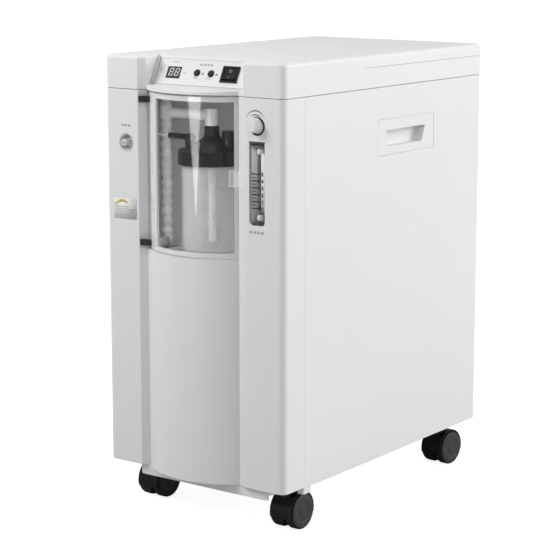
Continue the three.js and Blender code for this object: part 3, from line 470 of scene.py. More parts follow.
def smooth_group():
    """Shades every edge smooth unless it is a sharp one."""
    group, start, end = geometry_group("smooth_by_angle")
    faces = group.nodes.new("GeometryNodeSetShadeSmooth")
    edges = group.nodes.new("GeometryNodeSetShadeSmooth")
    edges.domain = "EDGE"
    angle = group.nodes.new("GeometryNodeInputMeshEdgeAngle")
    flat = group.nodes.new("FunctionNodeCompare")
    flat.operation = "LESS_THAN"
    flat.inputs["B"].default_value = SHARP_ANGLE
    group.links.new(angle.outputs["Unsigned Angle"], flat.inputs["A"])
    group.links.new(flat.outputs["Result"], edges.inputs["Shade Smooth"])
    group.links.new(start.outputs[0], faces.inputs["Geometry"])
    group.links.new(faces.outputs["Geometry"], edges.inputs["Geometry"])
    group.links.new(edges.outputs["Geometry"], end.inputs[0])
    return group


WELD = weld_group()
SMOOTH = smooth_group()


def round_edges(thing, width, segments=3, weld=True):
    """Rounds a piece's sharp edges by width, in millimetres, and keeps its faces flat between them."""
    if weld:
        thing.modifiers.new("weld", "NODES").node_group = WELD
        planar = thing.modifiers.new("planar", "DECIMATE")
        planar.decimate_type = "DISSOLVE"
        planar.angle_limit = PLANAR_ANGLE
    bevel = thing.modifiers.new("round", "BEVEL")
    bevel.width = width * MM
    bevel.segments = segments
    bevel.limit_method = "ANGLE"
    bevel.angle_limit = SHARP_ANGLE
    thing.modifiers.new("smooth", "NODES").node_group = SMOOTH
    normals = thing.modifiers.new("normals", "WEIGHTED_NORMAL")
    normals.keep_sharp = True


EDGE_RADII = {
    "front_fascia": 0.9, "side_panel_right": 0.9, "side_panel_left": 0.9, "rear_panel": 0.6, "top_cover": 0.8,
    "rear_lid": 0.7, "base_pan": 0.6, "handle_cup_right": 1.0, "handle_cup_left": 1.0, "door_shell": 0.6,
    "door_frame": 0.8, "door_pull_tab": 0.6, "compartment_tub": 0.6, "console_plate": 0.25, "bottle": 0.6,
    "bottle_lid": 0.7, "flow_knob": 0.5, "rocker": 0.5, "rocker_frame": 0.4, "filter_cover": 0.5,
    "compressor_motor": 1.5, "compressor_head_front": 1.0, "compressor_head_rear": 1.0,
}
SMALL_EDGE = 0.3


def dress_frame():
    """Gives every CAD node its finish and its rounded edges."""
    slots = {part["node"]: part["material_slot"] for part in frame["record"]["subparts"]}
    for name, thing in NODES.items():
        thing.material_slots[0].material = LOOKS[slots[name]]
        round_edges(thing, EDGE_RADII.get(name, SMALL_EDGE))
    NODES["door_pull_tab"].material_slots[0].material = PULL_TAB


# ---------------------------------------------------------------- mesh building
MERGE_DISTANCE = 0.001


def box_mm(node):
    """The low and high corners of a CAD node's box, in millimetres."""
    low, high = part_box(node)
    return low / MM, high / MM


def piece(name, vertices, faces, materials, body, slot, place=None, indices=None):
    """A new mesh piece: vertices in millimetres in its own frame, placed by a matrix, riding on a body."""
    mesh = bpy.data.meshes.new(name)
    mesh.from_pydata([Vector(v) * MM for v in vertices], [], faces)
    if place:
        mesh.transform(place)
    for material in materials:
        mesh.materials.append(material)
    if indices:
        mesh.polygons.foreach_set("material_index", indices)
    merged = bmesh.new()
    merged.from_mesh(mesh)
    bmesh.ops.remove_doubles(merged, verts=merged.verts, dist=MERGE_DISTANCE * MM)
    bmesh.ops.recalc_face_normals(merged, faces=merged.faces)
    merged.to_mesh(mesh)
    merged.free()
    mesh.shade_smooth()
    thing = bpy.data.objects.new(name, mesh)
    bpy.context.scene.collection.objects.link(thing)
    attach(thing, body)
    return thing


def prism(outline, low, high):
    """Vertices and faces of an outline in (x, y) raised from z = low to z = high."""
    count = len(outline)
    vertices = [(x, y, low) for x, y in outline] + [(x, y, high) for x, y in outline]
    sides = [(i, (i + 1) % count, count + (i + 1) % count, count + i) for i in range(count)]
    return vertices, [tuple(reversed(range(count))), tuple(range(count, 2 * count)), *sides]


def joined(*solids):
    """Several (vertices, faces) solids as one."""
    vertices, faces = [], []
    for more_vertices, more_faces in solids:
        offset = len(vertices)
        vertices.extend(more_vertices)
        faces.extend(tuple(index + offset for index in face) for face in more_faces)
    return vertices, faces


def turned(profile, segments=64, bands=None):
    """A closed profile of (radius, height) turned about +Z: vertices, faces and one material index per face.

    bands gives a material index for each stretch of the profile.
    """
    vertices, faces, indices = [], [], []
    for step in range(segments):
        angle = 2 * math.pi * step / segments
        vertices.extend((r * math.cos(angle), r * math.sin(angle), h) for r, h in profile)
    count = len(profile)
    on_axis = [radius < 1e-6 for radius, _ in profile]
    for step in range(segments):
        here = step * count
        there = (step + 1) % segments * count
        for i in range(count):
            j = (i + 1) % count
            if on_axis[i] and on_axis[j]:
                continue
            faces.append((here + i, there + i, there + j, here + j))
            indices.append(bands[i] if bands else 0)
    return vertices, faces, indices


def arc_points(x, y, radius, start, stop, steps):
    angles = [math.radians(start + (stop - start) * i / steps) for i in range(steps + 1)]
    return [(x + radius * math.cos(a), y + radius * math.sin(a)) for a in angles]


def rectangle(x0, x1, y0, y1):
    return [(x0, y0), (x1, y0), (x1, y1), (x0, y1)]


def front_face(y):
    """Places (x, z) drawings on a plane that faces -Y: drawing x, y and height become x, z and -y."""
    return Matrix.Translation((0, y, 0)) @ Matrix.Rotation(math.radians(90), 4, "X")


# ---------------------------------------------------------------- console
PLATE_THICKNESS = 1.3
PRINT_LIFT = 0.12


def console_place():
    """The console plate's lower left front corner, with x across, y up the slope and z out of the plate."""
    low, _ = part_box("console_plate")
    inward = Vector(JOINTS["up_press"]["axis"])
    slope = math.acos(-inward.z)
    corner = Vector((low.x, low.y, low.z + PLATE_THICKNESS * MM * math.cos(slope)))
    return Matrix.Translation(corner) @ Matrix.Rotation(slope, 4, "X")


# A numeral's bars, in millimetres: slant leans it to the right, and broad and tall scale it.
SEGMENT = {"length": 5.6, "width": 1.4, "slant": 0.12, "broad": 0.98, "tall": 0.88}
DIGIT_SIZE = {"pitch": 9.6, "start": 24.5, "base": 12.6, "lift": 0.2, "dot_offset": 7.6, "dot_radius": 0.6}


def digit_segments(x, y):
    """The seven bars of one lit numeral, each a flat hexagon, leaning slightly to the right."""
    length, slant, broad, tall = SEGMENT["length"], SEGMENT["slant"], SEGMENT["broad"], SEGMENT["tall"]
    half = SEGMENT["width"] / 2
    across = [(0, 0), (half, -half), (length - half, -half), (length, 0), (length - half, half), (half, half)]
    upright = [(v, u) for u, v in across]
    places = [(0, level * length, across) for level in range(3)]
    places += [(side * length, level * length, upright) for side in range(2) for level in range(2)]
    for left, bottom, shape in places:
        lean = [((left + u) * broad + (bottom + v) * slant, (bottom + v) * tall) for u, v in shape]
        yield prism([(x + u, y + v) for u, v in lean], 0, PRINT_LIFT)


def make_display(place):
    """Two numerals and a point on the display window."""
    start, base = DIGIT_SIZE["start"], DIGIT_SIZE["base"]
    raised = place @ Matrix.Translation((0, 0, DIGIT_SIZE["lift"] * MM))
    for number in range(2):
        digit = joined(*digit_segments(start + number * DIGIT_SIZE["pitch"], base))
        piece(f"display_digit_{number + 1}", *digit, [DIGIT], "casing", "display_dark", raised)
    circle = arc_points(start + DIGIT_SIZE["dot_offset"], base, DIGIT_SIZE["dot_radius"], 0, 330, 11)
    piece("display_point", *prism(circle, 0, PRINT_LIFT), [DIGIT], "casing", "display_dark", raised)


def dashes(x0, x1, y, height, count, filled=0.7):
    """A row of short bars from x0 to x1 that stands for a printed word."""
    pitch = (x1 - x0) / count
    low, high = y - height / 2, y + height / 2
    bars = [rectangle(x0 + pitch * i, x0 + pitch * (i + filled), low, high) for i in range(count)]
    return joined(*(prism(bar, 0, PRINT_LIFT) for bar in bars))


# Each row of dashes on the console: left end, right end, height up the plate, size and count.
CONSOLE_WORDS = {
    "over the display": (25, 38, 32, 1.4, 4),
    "over the buttons": (72, 96, 30, 2.6, 4),
    "right of the display": (47, 53.5, 17.2, 1.2, 2),
    "left of the display": (7, 14, 20, 1.0, 2),
    "under the first button": (67, 75.5, 10.3, 1.2, 2),
    "under the second button": (88.5, 97, 10.6, 1.2, 2),
}


def make_console_dashes(place):
    words = joined(*(dashes(*row) for row in CONSOLE_WORDS.values()))
    piece("console_dashes", *words, [PRINT_PALE], "casing", "console_white", place)


BORDER = {"left": 3.4, "line": 0.7, "fine_line": 0.5, "bottom": 1.5, "top": 36.5, "right_margin": 6}
LIP = {"width": 2, "bottom": 0.3, "top": 38.2, "height": 2.6}
TRIANGLE = {"offset": 9.7, "half": 2, "bottom": 16.0, "top": 19.4}


def make_console_border(place, width):
    """A printed line up the plate's left end and along its top, and the raised lip outside it."""
    left, top = BORDER["left"], BORDER["top"]
    left_line = rectangle(left, left + BORDER["line"], BORDER["bottom"], top)
    top_line = rectangle(left, width - BORDER["right_margin"], top - BORDER["fine_line"], top)
    border = joined(*(prism(line, 0, PRINT_LIFT) for line in (left_line, top_line)))
    piece("console_border", *border, [PRINT_PALE], "casing", "console_white", place)
    lip = prism(rectangle(0, LIP["width"], LIP["bottom"], LIP["top"]), 0, LIP["height"])
    piece("console_lip", *lip, [LOOKS["door_white"]], "casing", "console_white", place)


def make_console_marks(place):
    """The plate's border, its rows of dashes, and a triangle to the right of each button."""
    low, high = box_mm("console_plate")
    make_console_border(place, high.x - low.x)
    make_console_dashes(place)
    triangles = []
    for button in ("button_down", "button_up"):
        button_low, button_high = box_mm(button)
        x = (button_low.x + button_high.x) / 2 - low.x + TRIANGLE["offset"]
        half, bottom = TRIANGLE["half"], TRIANGLE["bottom"]
        triangles.append(prism([(x - half, bottom), (x + half, bottom), (x, TRIANGLE["top"])], 0, PRINT_LIFT))
    piece("console_triangles", *joined(*triangles), [PRINT], "casing", "console_white", place)


# The rocker's resting tilt in degrees, and in millimetres its half length, and its faces' height in the
# middle and rise towards the ends.
ROCKER = {"tilt": 8, "half": 7.9, "middle": 1.6, "rise": 1.8}
RING = {"distance": 4.6, "outer": 2.1, "inner": 1.5, "stop": 345, "steps": 23}
BAR = {"half": 0.3, "near": 2.6, "far": 6.4}


def make_rocker_marks():
    """A ring and a bar, the usual off and on marks, moulded on the rocker's two faces."""
    pivot = Matrix.Translation(JOINTS["switch_rock"]["pos_m"])
    console_slope = math.acos(-JOINTS["up_press"]["axis"][2])
    tilted = Matrix.Rotation(console_slope - math.radians(ROCKER["tilt"]), 4, "X")
    middle = pivot @ tilted @ Matrix.Translation((0, 0, ROCKER["middle"] * MM))
    wing = math.atan2(ROCKER["rise"], ROCKER["half"])
    outer = arc_points(0, RING["distance"], RING["outer"], 0, RING["stop"], RING["steps"])
    inner = arc_points(0, RING["distance"], RING["inner"], RING["stop"], 0, RING["steps"])
    ring = prism(outer + inner, 0, PRINT_LIFT)
    upper = middle @ Matrix.Rotation(wing, 4, "X")
    piece("rocker_ring", *ring, [PRINT_PALE], "switch", "switch_black", upper)
    bar = prism(rectangle(-BAR["half"], BAR["half"], -BAR["far"], -BAR["near"]), 0, PRINT_LIFT)
    lower = middle @ Matrix.Rotation(-wing, 4, "X")
    piece("rocker_bar", *bar, [PRINT_PALE], "switch", "switch_black", lower)


# ---------------------------------------------------------------- marks on the columns
FINEST_LINE = 0.2
SUNK = 0.02


def column_face():
    """Places (x, z) drawings on the front of the two columns."""
    return front_face(JOINTS["knob_turn"]["pos_m"][1])


def crescent(x, z, radius, start, stop, swell, steps=30):
    """A printed arc, thick in its middle and fine at its ends."""
    outer, inner = [], []
    for i in range(steps + 1):
        share = i / steps
        angle = math.radians(start + (stop - start) * share)
        thickness = FINEST_LINE + swell * math.sin(math.pi * share)
        outer.append((x + radius * math.cos(angle), z + radius * math.sin(angle)))
        inner.append((x + (radius - thickness) * math.cos(angle), z + (radius - thickness) * math.sin(angle)))
    return prism(outer + inner[::-1], -SUNK, PRINT_LIFT)


# The two crescents, as their centre's place from the knob's, radius, start and stop in degrees, and swell.
CRESCENTS = ((-1, 3.8, 15.6, 158, 22, 1.4), (-1, 0, 14, 128, 50, 1.3))
# The dark ring round the knob: a real groove, made wider and shifted right and down by offset so that it
# paints the knob's shadow.
GROOVE_AND_SHADOW = {"under_knob": 0.4, "width": 2.8, "height": 0.1, "offset": 1.2}


def make_knob_scale():
    """Two printed crescents over the flow knob, and a dark ring round it: the groove it turns in, widened and
    set off to the lower right as the knob's painted shadow.
    """
    low, high = box_mm("flow_knob")
    x, z = (low.x + high.x) / 2, (low.z + high.z) / 2
    arcs = joined(*(crescent(x + right, z + up, *shape) for right, up, *shape in CRESCENTS))
    piece("knob_scale", *arcs, [PRINT], "casing", "casing_white", column_face())
    inner = (high.x - low.x) / 2 - GROOVE_AND_SHADOW["under_knob"]
    section = rectangle(inner, inner + GROOVE_AND_SHADOW["width"], -SUNK, GROOVE_AND_SHADOW["height"])
    vertices, faces, _ = turned(section, 48)
    # Shifting the ring right and down paints the knob's shadow on the column.
    offset = GROOVE_AND_SHADOW["offset"]
    spot = Matrix.Translation(((x + offset) * MM, 0, (z - offset) * MM)) @ column_face()
    piece("knob_groove_and_painted_shadow", vertices, faces, [PRINT_BLACK], "casing", "hinge_black", spot)


# A numeral's font size over its height, and how far its strokes are thickened.
FONT_SCALE = 1.35
STROKE_GROWTH = 0.22


def numeral(name, text, x, y, height, place, material):
    """A printed numeral whose left lower corner is at (x, y)."""
    curve = bpy.data.curves.new(name, "FONT")
    curve.body = text
    curve.size = height * MM * FONT_SCALE
    curve.extrude = PRINT_LIFT * MM
    curve.offset = STROKE_GROWTH * MM
    source = bpy.data.objects.new(name, curve)
    mesh = bpy.data.meshes.new_from_object(source)
    mesh.transform(place @ Matrix.Translation((x * MM, y * MM, 0)))
    mesh.materials.clear()
    mesh.materials.append(material)
    bpy.data.objects.remove(source)
    thing = bpy.data.objects.new(name, mesh)
    bpy.context.scene.collection.objects.link(thing)
    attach(thing, "casing")
    return thing


# The scale runs from 0 to 5, and pitch is the height between two numbers.
SCALE = {"top": 5, "pitch": 8.95, "numeral": 4.6, "numeral_inset": 6.4, "numeral_drop": 2}
# Each kind of tick: its two ends from the block's left side, and half its thickness.
LONG_TICK = (2.4, 15.2, 0.75)
SHORT_TICK = (3, 9, 0.45)
TAPE = {"inset": 6.7, "margin": 0.6, "below": 3, "pitches": 8, "thickness": 0.2, "behind": 0.3}
CHANNEL = {"margin": 0.3, "front": 1.8, "behind_bore": 6.5, "side": 0.8, "back": 1, "bottom": 1.2, "top": 0.6}
METER_TUBE = {"outer": 4.3, "inner": 3.9, "below": 8, "above": 69}
# An end fitting's outline, as (radius, height), and how far each one's foot is above the scale's zero.
METER_CAP = ((0, 0), (3.6, 0), (4.2, 0.8), (4.2, 5), (3.0, 7), (0, 7))
METER_CAPS = {"meter_cap_top": 69.5, "meter_cap_bottom": -16}
# A dark bar just behind the block's front, at its top: painted shade where the recessed window's upper edge
# shadows it.
TOP_SHADE_BAR = {"margin": 0.4, "bottom": 4.6, "top": 2.6, "thickness": 1.0, "behind": 0.9}


def make_meter_scale(low, high, zero):
    """A long tick and a numeral at each whole number, and a short tick between two."""
    front = front_face(low.y * MM)
    ticks = []
    for step in range(2 * SCALE["top"] + 1):
        z = zero + step * SCALE["pitch"] / 2
        left, right, half = SHORT_TICK if step % 2 else LONG_TICK
        ticks.append(prism(rectangle(low.x + left, low.x + right, z - half, z + half), 0, PRINT_LIFT))
    piece("meter_ticks", *joined(*ticks), [PRINT_BLACK], "casing", "meter_clear", front)
    x = high.x - SCALE["numeral_inset"]
    for step in range(SCALE["top"] + 1):
        z = zero + step * SCALE["pitch"] - SCALE["numeral_drop"]
        numeral(f"meter_numeral_{step}", str(step), x, z, SCALE["numeral"], front, PRINT_BLACK)


def make_meter_tape(low, high, zero):
    """The pale tape behind the numerals."""
    left, right = high.x - TAPE["inset"], high.x - TAPE["margin"]
    bottom, top = zero - TAPE["below"], zero + TAPE["pitches"] * SCALE["pitch"]
    tape = prism(rectangle(left, right, bottom, top), 0, TAPE["thickness"])
    piece("meter_tape", *tape, [LABEL], "casing", "meter_clear", front_face((low.y + TAPE["behind"]) * MM))


def make_meter_channel(low, high, bore_y):
    """The white channel that lines the flowmeter's sides and back."""
    left, right = low.x + CHANNEL["margin"], high.x - CHANNEL["margin"]
    near, far = low.y + CHANNEL["front"], bore_y + CHANNEL["behind_bore"]
    side, back = CHANNEL["side"], far - CHANNEL["back"]
    outline = [
        (left, near), (left, far), (right, far), (right, near), (right - side, near),
        (right - side, back), (left + side, back), (left + side, near),
    ]
    channel = prism(outline, low.z + CHANNEL["bottom"], high.z - CHANNEL["top"])
    piece("meter_back", *channel, [LOOKS["door_white"]], "casing", "meter_clear")


def make_meter_tube(zero, centre):
    """The inner tube that the float rises in, with a fitting at each end."""
    bottom, top = zero - METER_TUBE["below"], zero + METER_TUBE["above"]
    wall = rectangle(METER_TUBE["inner"], METER_TUBE["outer"], bottom, top)
    vertices, faces, _ = turned(wall, 32)
    piece("meter_tube", vertices, faces, [LOOKS["meter_clear"]], "casing", "meter_clear", centre)
    for name, foot in METER_CAPS.items():
        vertices, faces, _ = turned([(r, zero + foot + h) for r, h in METER_CAP], 32)
        piece(name, vertices, faces, [LOOKS["outlet_white"]], "casing", "meter_clear", centre)


def make_flowmeter():
    """The scale, its tape, the channel behind them, the inner tube, and a dark bar across the top that paints
    the shade under the window's upper edge.
    """
    low, high = box_mm("flowmeter_block")
    float_low, float_high = box_mm("flowmeter_float")
    bore = (float_low + float_high) / 2
    make_meter_scale(low, high, bore.z)
    make_meter_tape(low, high, bore.z)
    make_meter_channel(low, high, bore.y)
    make_meter_tube(bore.z, Matrix.Translation((bore.x * MM, bore.y * MM, 0)))
    # The dark bar across the top paints the shade inside the recessed window.
    left, right = low.x + TOP_SHADE_BAR["margin"], high.x - TOP_SHADE_BAR["margin"]
    bottom, top = high.z - TOP_SHADE_BAR["bottom"], high.z - TOP_SHADE_BAR["top"]
    bar = prism(rectangle(left, right, bottom, top), 0, TOP_SHADE_BAR["thickness"])
    behind = front_face((low.y + TOP_SHADE_BAR["behind"]) * MM)
    piece("meter_top_painted_shade", *bar, [LOOKS["hinge_black"]], "casing", "meter_clear", behind)


LABEL_BOX = {"left": -136.5, "right": -95.5, "bottom": 403.5, "top": 432.5}
SWOOSH = {"inset": 2, "length": 22, "steps": 14, "turn": 0.8}
# The swoosh's two edges: how far each starts under the label's top, and how high it swells.
SWOOSH_UPPER = (9, 7)
SWOOSH_LOWER = (11, 5.5)
LABEL_BAR = {"inset": 2.5, "bottom": 3, "pitch": 3.3, "height": 1.1, "lengths": (36, 39, 33, 38, 24)}


def swoosh_edge(drop, swell):
    """One edge of the label's swoosh, from left to right."""
    left, top = LABEL_BOX["left"] + SWOOSH["inset"], LABEL_BOX["top"] - drop
    shares = [i / SWOOSH["steps"] for i in range(SWOOSH["steps"] + 1)]
    turn = math.pi * SWOOSH["turn"]
    return [(left + SWOOSH["length"] * share, top + swell * math.sin(turn * share)) for share in shares]


def make_label():
    """A plain label on the left column: a gold swoosh over a few bars."""
    sheet = prism(rectangle(*LABEL_BOX.values()), 0, PRINT_LIFT)
    piece("label_sheet", *sheet, [LABEL], "casing", "casing_white", column_face())
    above = front_face(JOINTS["knob_turn"]["pos_m"][1] - PRINT_LIFT * MM)
    swoosh = prism(swoosh_edge(*SWOOSH_UPPER) + swoosh_edge(*SWOOSH_LOWER)[::-1], 0, PRINT_LIFT)
    piece("label_swoosh", *swoosh, [GOLD], "casing", "casing_white", above)
    bars = []
    left = LABEL_BOX["left"] + LABEL_BAR["inset"]
    for row, length in enumerate(LABEL_BAR["lengths"]):
        bottom = LABEL_BOX["bottom"] + LABEL_BAR["bottom"] + LABEL_BAR["pitch"] * row
        outline = rectangle(left, left + length, bottom, bottom + LABEL_BAR["height"])
        bars.append(prism(outline, 0, PRINT_LIFT))
    piece("label_bars", *joined(*bars), [PRINT_PALE], "casing", "casing_white", above)


# The words of dashes: height, count, distance from what each names, and reach to the outlet's two sides.
OUTLET_WORD = {"height": 3, "count": 3, "above": 11, "left": 8, "right": 9}
METER_WORD = {"height": 3.4, "count": 4, "below": 8.5}


def make_column_words():
    """Dashes over the oxygen outlet and under the flowmeter."""
    outlet_low, outlet_high = box_mm("outlet_cup")
    meter_low, meter_high = box_mm("flowmeter_block")
    x = (outlet_low.x + outlet_high.x) / 2
    left, right, z = x - OUTLET_WORD["left"], x + OUTLET_WORD["right"], outlet_high.z + OUTLET_WORD["above"]
    over = dashes(left, right, z, OUTLET_WORD["height"], OUTLET_WORD["count"])
    z = meter_low.z - METER_WORD["below"]
    under = dashes(meter_low.x, meter_high.x, z, METER_WORD["height"], METER_WORD["count"])
    piece("column_dashes", *joined(over, under), [PRINT_PALE], "casing", "casing_white", column_face())


# ---------------------------------------------------------------- humidifier compartment
HOSE = {"rib_depth": 2.3, "pitch": 13.0, "wall": 0.9, "steps_per_rib": 12, "fullness": 0.6}


def make_hose():
    """A corrugated tube: round ribs every pitch along its whole length, with a thin wall."""
    low, high = box_mm("corrugated_hose")
    radius = (high.x - low.x) / 2
    centre = Matrix.Translation(((low.x + radius) * MM, (low.y + radius) * MM, 0))
    per_rib = HOSE["steps_per_rib"]
    steps = round((high.z - low.z) / HOSE["pitch"]) * per_rib
    outer = []
    for i in range(steps + 1):
        wave = 0.5 - 0.5 * math.cos(2 * math.pi * i / per_rib)
        dip = HOSE["rib_depth"] * (1 - wave ** HOSE["fullness"])
        outer.append((radius - dip, low.z + (high.z - low.z) * i / steps))
    inner = [(r - HOSE["wall"], z) for r, z in outer[::-1]]
    vertices, faces, _ = turned(outer + inner, 40)
    hose = piece("hose_ribbed", vertices, faces, [LOOKS["hose_clear"]], "casing", "hose_clear", centre)
    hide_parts("corrugated_hose")
    return hose


# The slot's sides to the right of the bottle's axis and before it, and its depth below the ceiling's top.
# The slot is a thin black plate, not an opening: it paints the shade inside the slot.
SHADED_SLOT = {"left": 8, "right": 17, "front": 16, "back": 13.4, "under_top": 2.7, "thickness": 0.2}


def make_ceiling_slot():
    """A thin dark plate in the compartment's ceiling: painted shade where a slot opens."""
    bottle_low, bottle_high = box_mm("bottle")
    axis = (bottle_low + bottle_high) / 2
    z = box_mm("compartment_tub")[1].z - SHADED_SLOT["under_top"]
    left, right = axis.x + SHADED_SLOT["left"], axis.x + SHADED_SLOT["right"]
    outline = rectangle(left, right, axis.y - SHADED_SLOT["front"], axis.y - SHADED_SLOT["back"])
    slot = prism(outline, z, z + SHADED_SLOT["thickness"])
    piece("ceiling_slot_painted_shade", *slot, [LOOKS["hinge_black"]], "casing", "compartment_grey")


# The catch's place from the compartment's left side, back and bottom.
CATCH_PLACE = {"left": 24, "before_back": 114, "up": 2.5}
CATCH = {"width": 3, "depth": 18, "height": 14}
# A thin dark strip on the floor beside the catch: the hinge arm's painted shadow.
CATCH_PAINTED_SHADOW = {"gap": 0.4, "width": 2, "depth": 36, "height": 0.8}


def make_catch():
    """A small grey catch on the compartment's floor near the hinge, with a thin dark strip beside it that is
    the hinge arm's painted shadow.
    """
    low, high = box_mm("compartment_tub")
    left, front = low.x + CATCH_PLACE["left"], high.y - CATCH_PLACE["before_back"]
    floor = low.z + CATCH_PLACE["up"]
    right = left + CATCH["width"]
    catch = prism(rectangle(left, right, front, front + CATCH["depth"]), floor, floor + CATCH["height"])
    piece("compartment_catch", *catch, [LOOKS["column_shell"]], "casing", "compartment_grey")
    # The dark strip beside the catch paints the hinge arm's shadow on the floor.
    left = right + CATCH_PAINTED_SHADOW["gap"]
    outline = rectangle(left, left + CATCH_PAINTED_SHADOW["width"], front, front + CATCH_PAINTED_SHADOW["depth"])
    joint = prism(outline, floor, floor + CATCH_PAINTED_SHADOW["height"])
    piece("compartment_catch_painted_shadow", *joint, [LOOKS["hinge_black"]], "casing", "compartment_grey")


# ---------------------------------------------------------------- seams
HANDLE_SEAM = {"gap": 0.4, "bottom": 1.6, "top": 0.3}


def make_handle_seams():
    """A pale strip in the gap round each handle plate, just below the surface."""
    gap = HANDLE_SEAM["gap"]
    for side, name in ((1, "handle_cup_right"), (-1, "handle_cup_left")):
        low, high = box_mm(name)
        surface = high.x if side > 0 else -low.x
        around = (
            rectangle(low.y - gap, high.y + gap, low.z - gap, low.z),
            rectangle(low.y - gap, high.y + gap, high.z, high.z + gap),
            rectangle(low.y - gap, low.y, low.z, high.z),
            rectangle(high.y, high.y + gap, low.z, high.z),
        )
        bottom, top = surface - HANDLE_SEAM["bottom"], surface - HANDLE_SEAM["top"]
        strips = joined(*(prism(strip, bottom, top) for strip in around))
        place = Matrix(((0, 0, side, 0), (1, 0, 0, 0), (0, 1, 0, 0), (0, 0, 0, 1)))
        piece(f"{name}_seam", *strips, [LOOKS["casing_white"]], "casing", "casing_white", place)


COVER_SEAM = {"depth": 0.3, "thickness": 1.0, "corner": 9, "below": 1.3, "above": 0.5}
# Where the front strip stops for the bowed front, on its left and on its right.
BOW_LEFT, BOW_RIGHT = -94, 88


def make_cover_seam():
    """Pale strips inside the casing's walls, level with the underside of the top cover's tray."""
    low, high = box_mm("top_cover")
    depth, thickness, corner = COVER_SEAM["depth"], COVER_SEAM["thickness"], COVER_SEAM["corner"]
    column = JOINTS["knob_turn"]["pos_m"][1] / MM
    left, right, back = low.x + depth, high.x - depth, high.y - depth
    strips = (
        rectangle(right - thickness, right, column + corner, back - corner),
        rectangle(left, left + thickness, column + corner, back - corner),
        rectangle(left + corner, right - corner, back - thickness, back),
        rectangle(left + corner, BOW_LEFT, column + depth, column + depth + thickness),
        rectangle(BOW_RIGHT, right - corner, column + depth, column + depth + thickness),
    )
    bottom, top = low.z - COVER_SEAM["below"], low.z + COVER_SEAM["above"]
    seam = joined(*(prism(strip, bottom, top) for strip in strips))
    piece("cover_seam", *seam, [LOOKS["casing_white"]], "casing", "casing_white")


# ---------------------------------------------------------------- casters
CASTER_NAMES = ("front_left", "front_right", "rear_left", "rear_right")


def wheel_place(name):
    """The twin wheel's centre, with z along the axle."""
    joint = JOINTS[f"{name}_roll"]
    axle = Vector(joint["axis"])
    turn = math.atan2(axle.y, axle.x)
    place = Matrix.Translation(joint["pos_m"]) @ Matrix.Rotation(turn, 4, "Z")
    return place @ Matrix.Rotation(math.radians(90), 4, "Y")


def wheel_profile(radius):
    """One wheel from its inner face to its outer one, as (radius, distance from the middle), with materials.

    0 is the grey disc and 1 the black tyre.
    """
    return [
        ((0, 4.6), 0), ((8, 4.6), 0), ((8, 6.2), 0), ((radius - 5, 6.2), 0), ((radius - 5, 4.8), 1),
        ((radius - 2.6, 4.6), 1), ((radius - 0.8, 5.6), 1), ((radius, 7.6), 1), ((radius, 16.6), 1),
        ((radius - 0.7, 18.4), 1), ((radius - 1.9, 19.2), 1), ((radius - 2.1, 18.7), 0),
        ((radius - 2.7, 19.3), 0), ((radius - 5.5, 19.8), 0), ((15.5, 19.8), 0), ((14.6, 19.2), 0),
        ((8.6, 19.2), 0), ((8.0, 19.9), 0), ((5.0, 20.0), 0), ((0, 20.0), 0),
    ]


AXLE = {"radius": 2.9, "half": 5}


def make_wheels(name):
    """A pair of wheels with their axle, in place of the CAD's plain ones."""
    profile = wheel_profile(JOINTS[f"{name}_roll"]["pos_m"][2] / MM)
    bands = [band for _, band in profile]
    outer = turned([point for point, _ in profile], 72, bands)
    inner = turned([(r, -h) for (r, h), _ in profile], 72, bands)
    axle = turned(rectangle(0, AXLE["radius"], -AXLE["half"], AXLE["half"]), 24)
    vertices, faces = joined(outer[:2], inner[:2], axle[:2])
    indices = outer[2] + inner[2] + axle[2]
    looks = [LOOKS["wheel_grey"], TYRE]
    body = f"{name}_wheels"
    wheels = piece(f"wheels_{name}", vertices, faces, looks, body, "wheel_grey", wheel_place(name), indices)
    round_edges(wheels, SMALL_EDGE, segments=2, weld=False)
    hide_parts(f"caster_{name}_wheels")


# ---------------------------------------------------------------- screws
SCREW_HEAD = {"radius": 3.4, "foot": -0.2, "rim": 0.5, "shoulder": 1.1, "dome": 1.45, "top": 1.5}
RECESS = {"reach": 0.62, "half": 0.42, "floor": 0.6, "top": 2.0}
# How far the screws stand in from the rear panel's sides, bottom and top, the middle ones' height, and how
# deep they sit in the panel.
REAR_SCREWS = {"side": 9, "bottom": 12, "middle": 320, "top": 14, "sunk": 1.5}


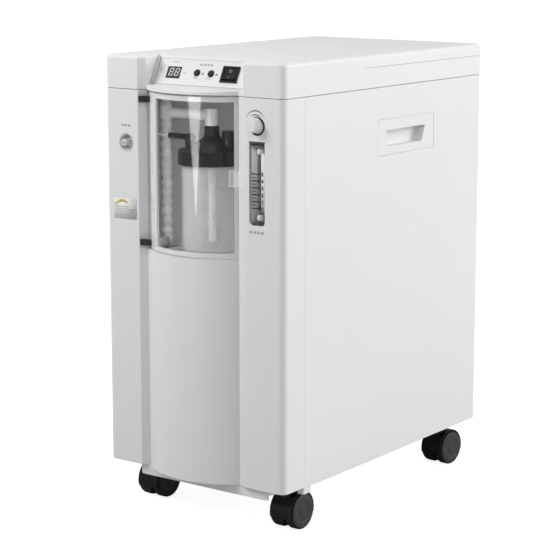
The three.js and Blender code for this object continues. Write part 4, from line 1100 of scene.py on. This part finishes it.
def screw_head(name, place, body):
    """A domed screw head with a cross recess."""
    radius, foot = SCREW_HEAD["radius"], SCREW_HEAD["foot"]
    profile = [
        (0, foot), (radius, foot), (radius, SCREW_HEAD["rim"]), (radius * 0.8, SCREW_HEAD["shoulder"]),
        (radius * 0.4, SCREW_HEAD["dome"]), (0, SCREW_HEAD["top"]),
    ]
    vertices, faces, _ = turned(profile, 28)
    thing = piece(name, vertices, faces, [SCREW], body, "steel", place)
    arm, half, floor, top = radius * RECESS["reach"], RECESS["half"], RECESS["floor"], RECESS["top"]
    cross = joined(
        prism(rectangle(-arm, arm, -half, half), floor, top),
        prism(rectangle(-half, half, -arm, arm), floor, top),
    )
    cutter = piece(f"{name}_recess", *cross, [SCREW], body, "steel", place)
    cut = thing.modifiers.new("recess", "BOOLEAN")
    cut.object = cutter
    cut.solver = "EXACT"
    cut.use_self = True
    bpy.context.view_layer.update()
    shaped = bpy.data.meshes.new_from_object(thing.evaluated_get(bpy.context.evaluated_depsgraph_get()))
    thing.modifiers.clear()
    thing.data = shaped
    bpy.data.objects.remove(cutter)


def make_rear_screws():
    """Three screws down each side of the rear panel."""
    low, high = box_mm("rear_panel")
    columns = (low.x + REAR_SCREWS["side"], high.x - REAR_SCREWS["side"])
    rows = (low.z + REAR_SCREWS["bottom"], REAR_SCREWS["middle"], high.z - REAR_SCREWS["top"])
    y = high.y - REAR_SCREWS["sunk"]
    back = Matrix.Rotation(math.radians(-90), 4, "X")
    for number, (x, z) in enumerate(((x, z) for x in columns for z in rows), start=1):
        place = Matrix.Translation((x * MM, y * MM, z * MM)) @ back
        screw_head(f"rear_screw_{number}", place, "casing")


# ---------------------------------------------------------------- the whole scene
make_camera()
make_studio()
dress_frame()
console = console_place()
make_display(console)
make_console_marks(console)
make_rocker_marks()
make_knob_scale()
make_flowmeter()
make_label()
make_column_words()
make_compartment_fill(make_hose())
make_ceiling_slot()
make_catch()
make_handle_seams()
make_cover_seam()
for caster in CASTER_NAMES:
    make_wheels(caster)
make_rear_screws()

boxes = {"cad": cad_box, "visual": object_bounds()}
{name: [list(corner) for corner in corners] for name, corners in boxes.items()}
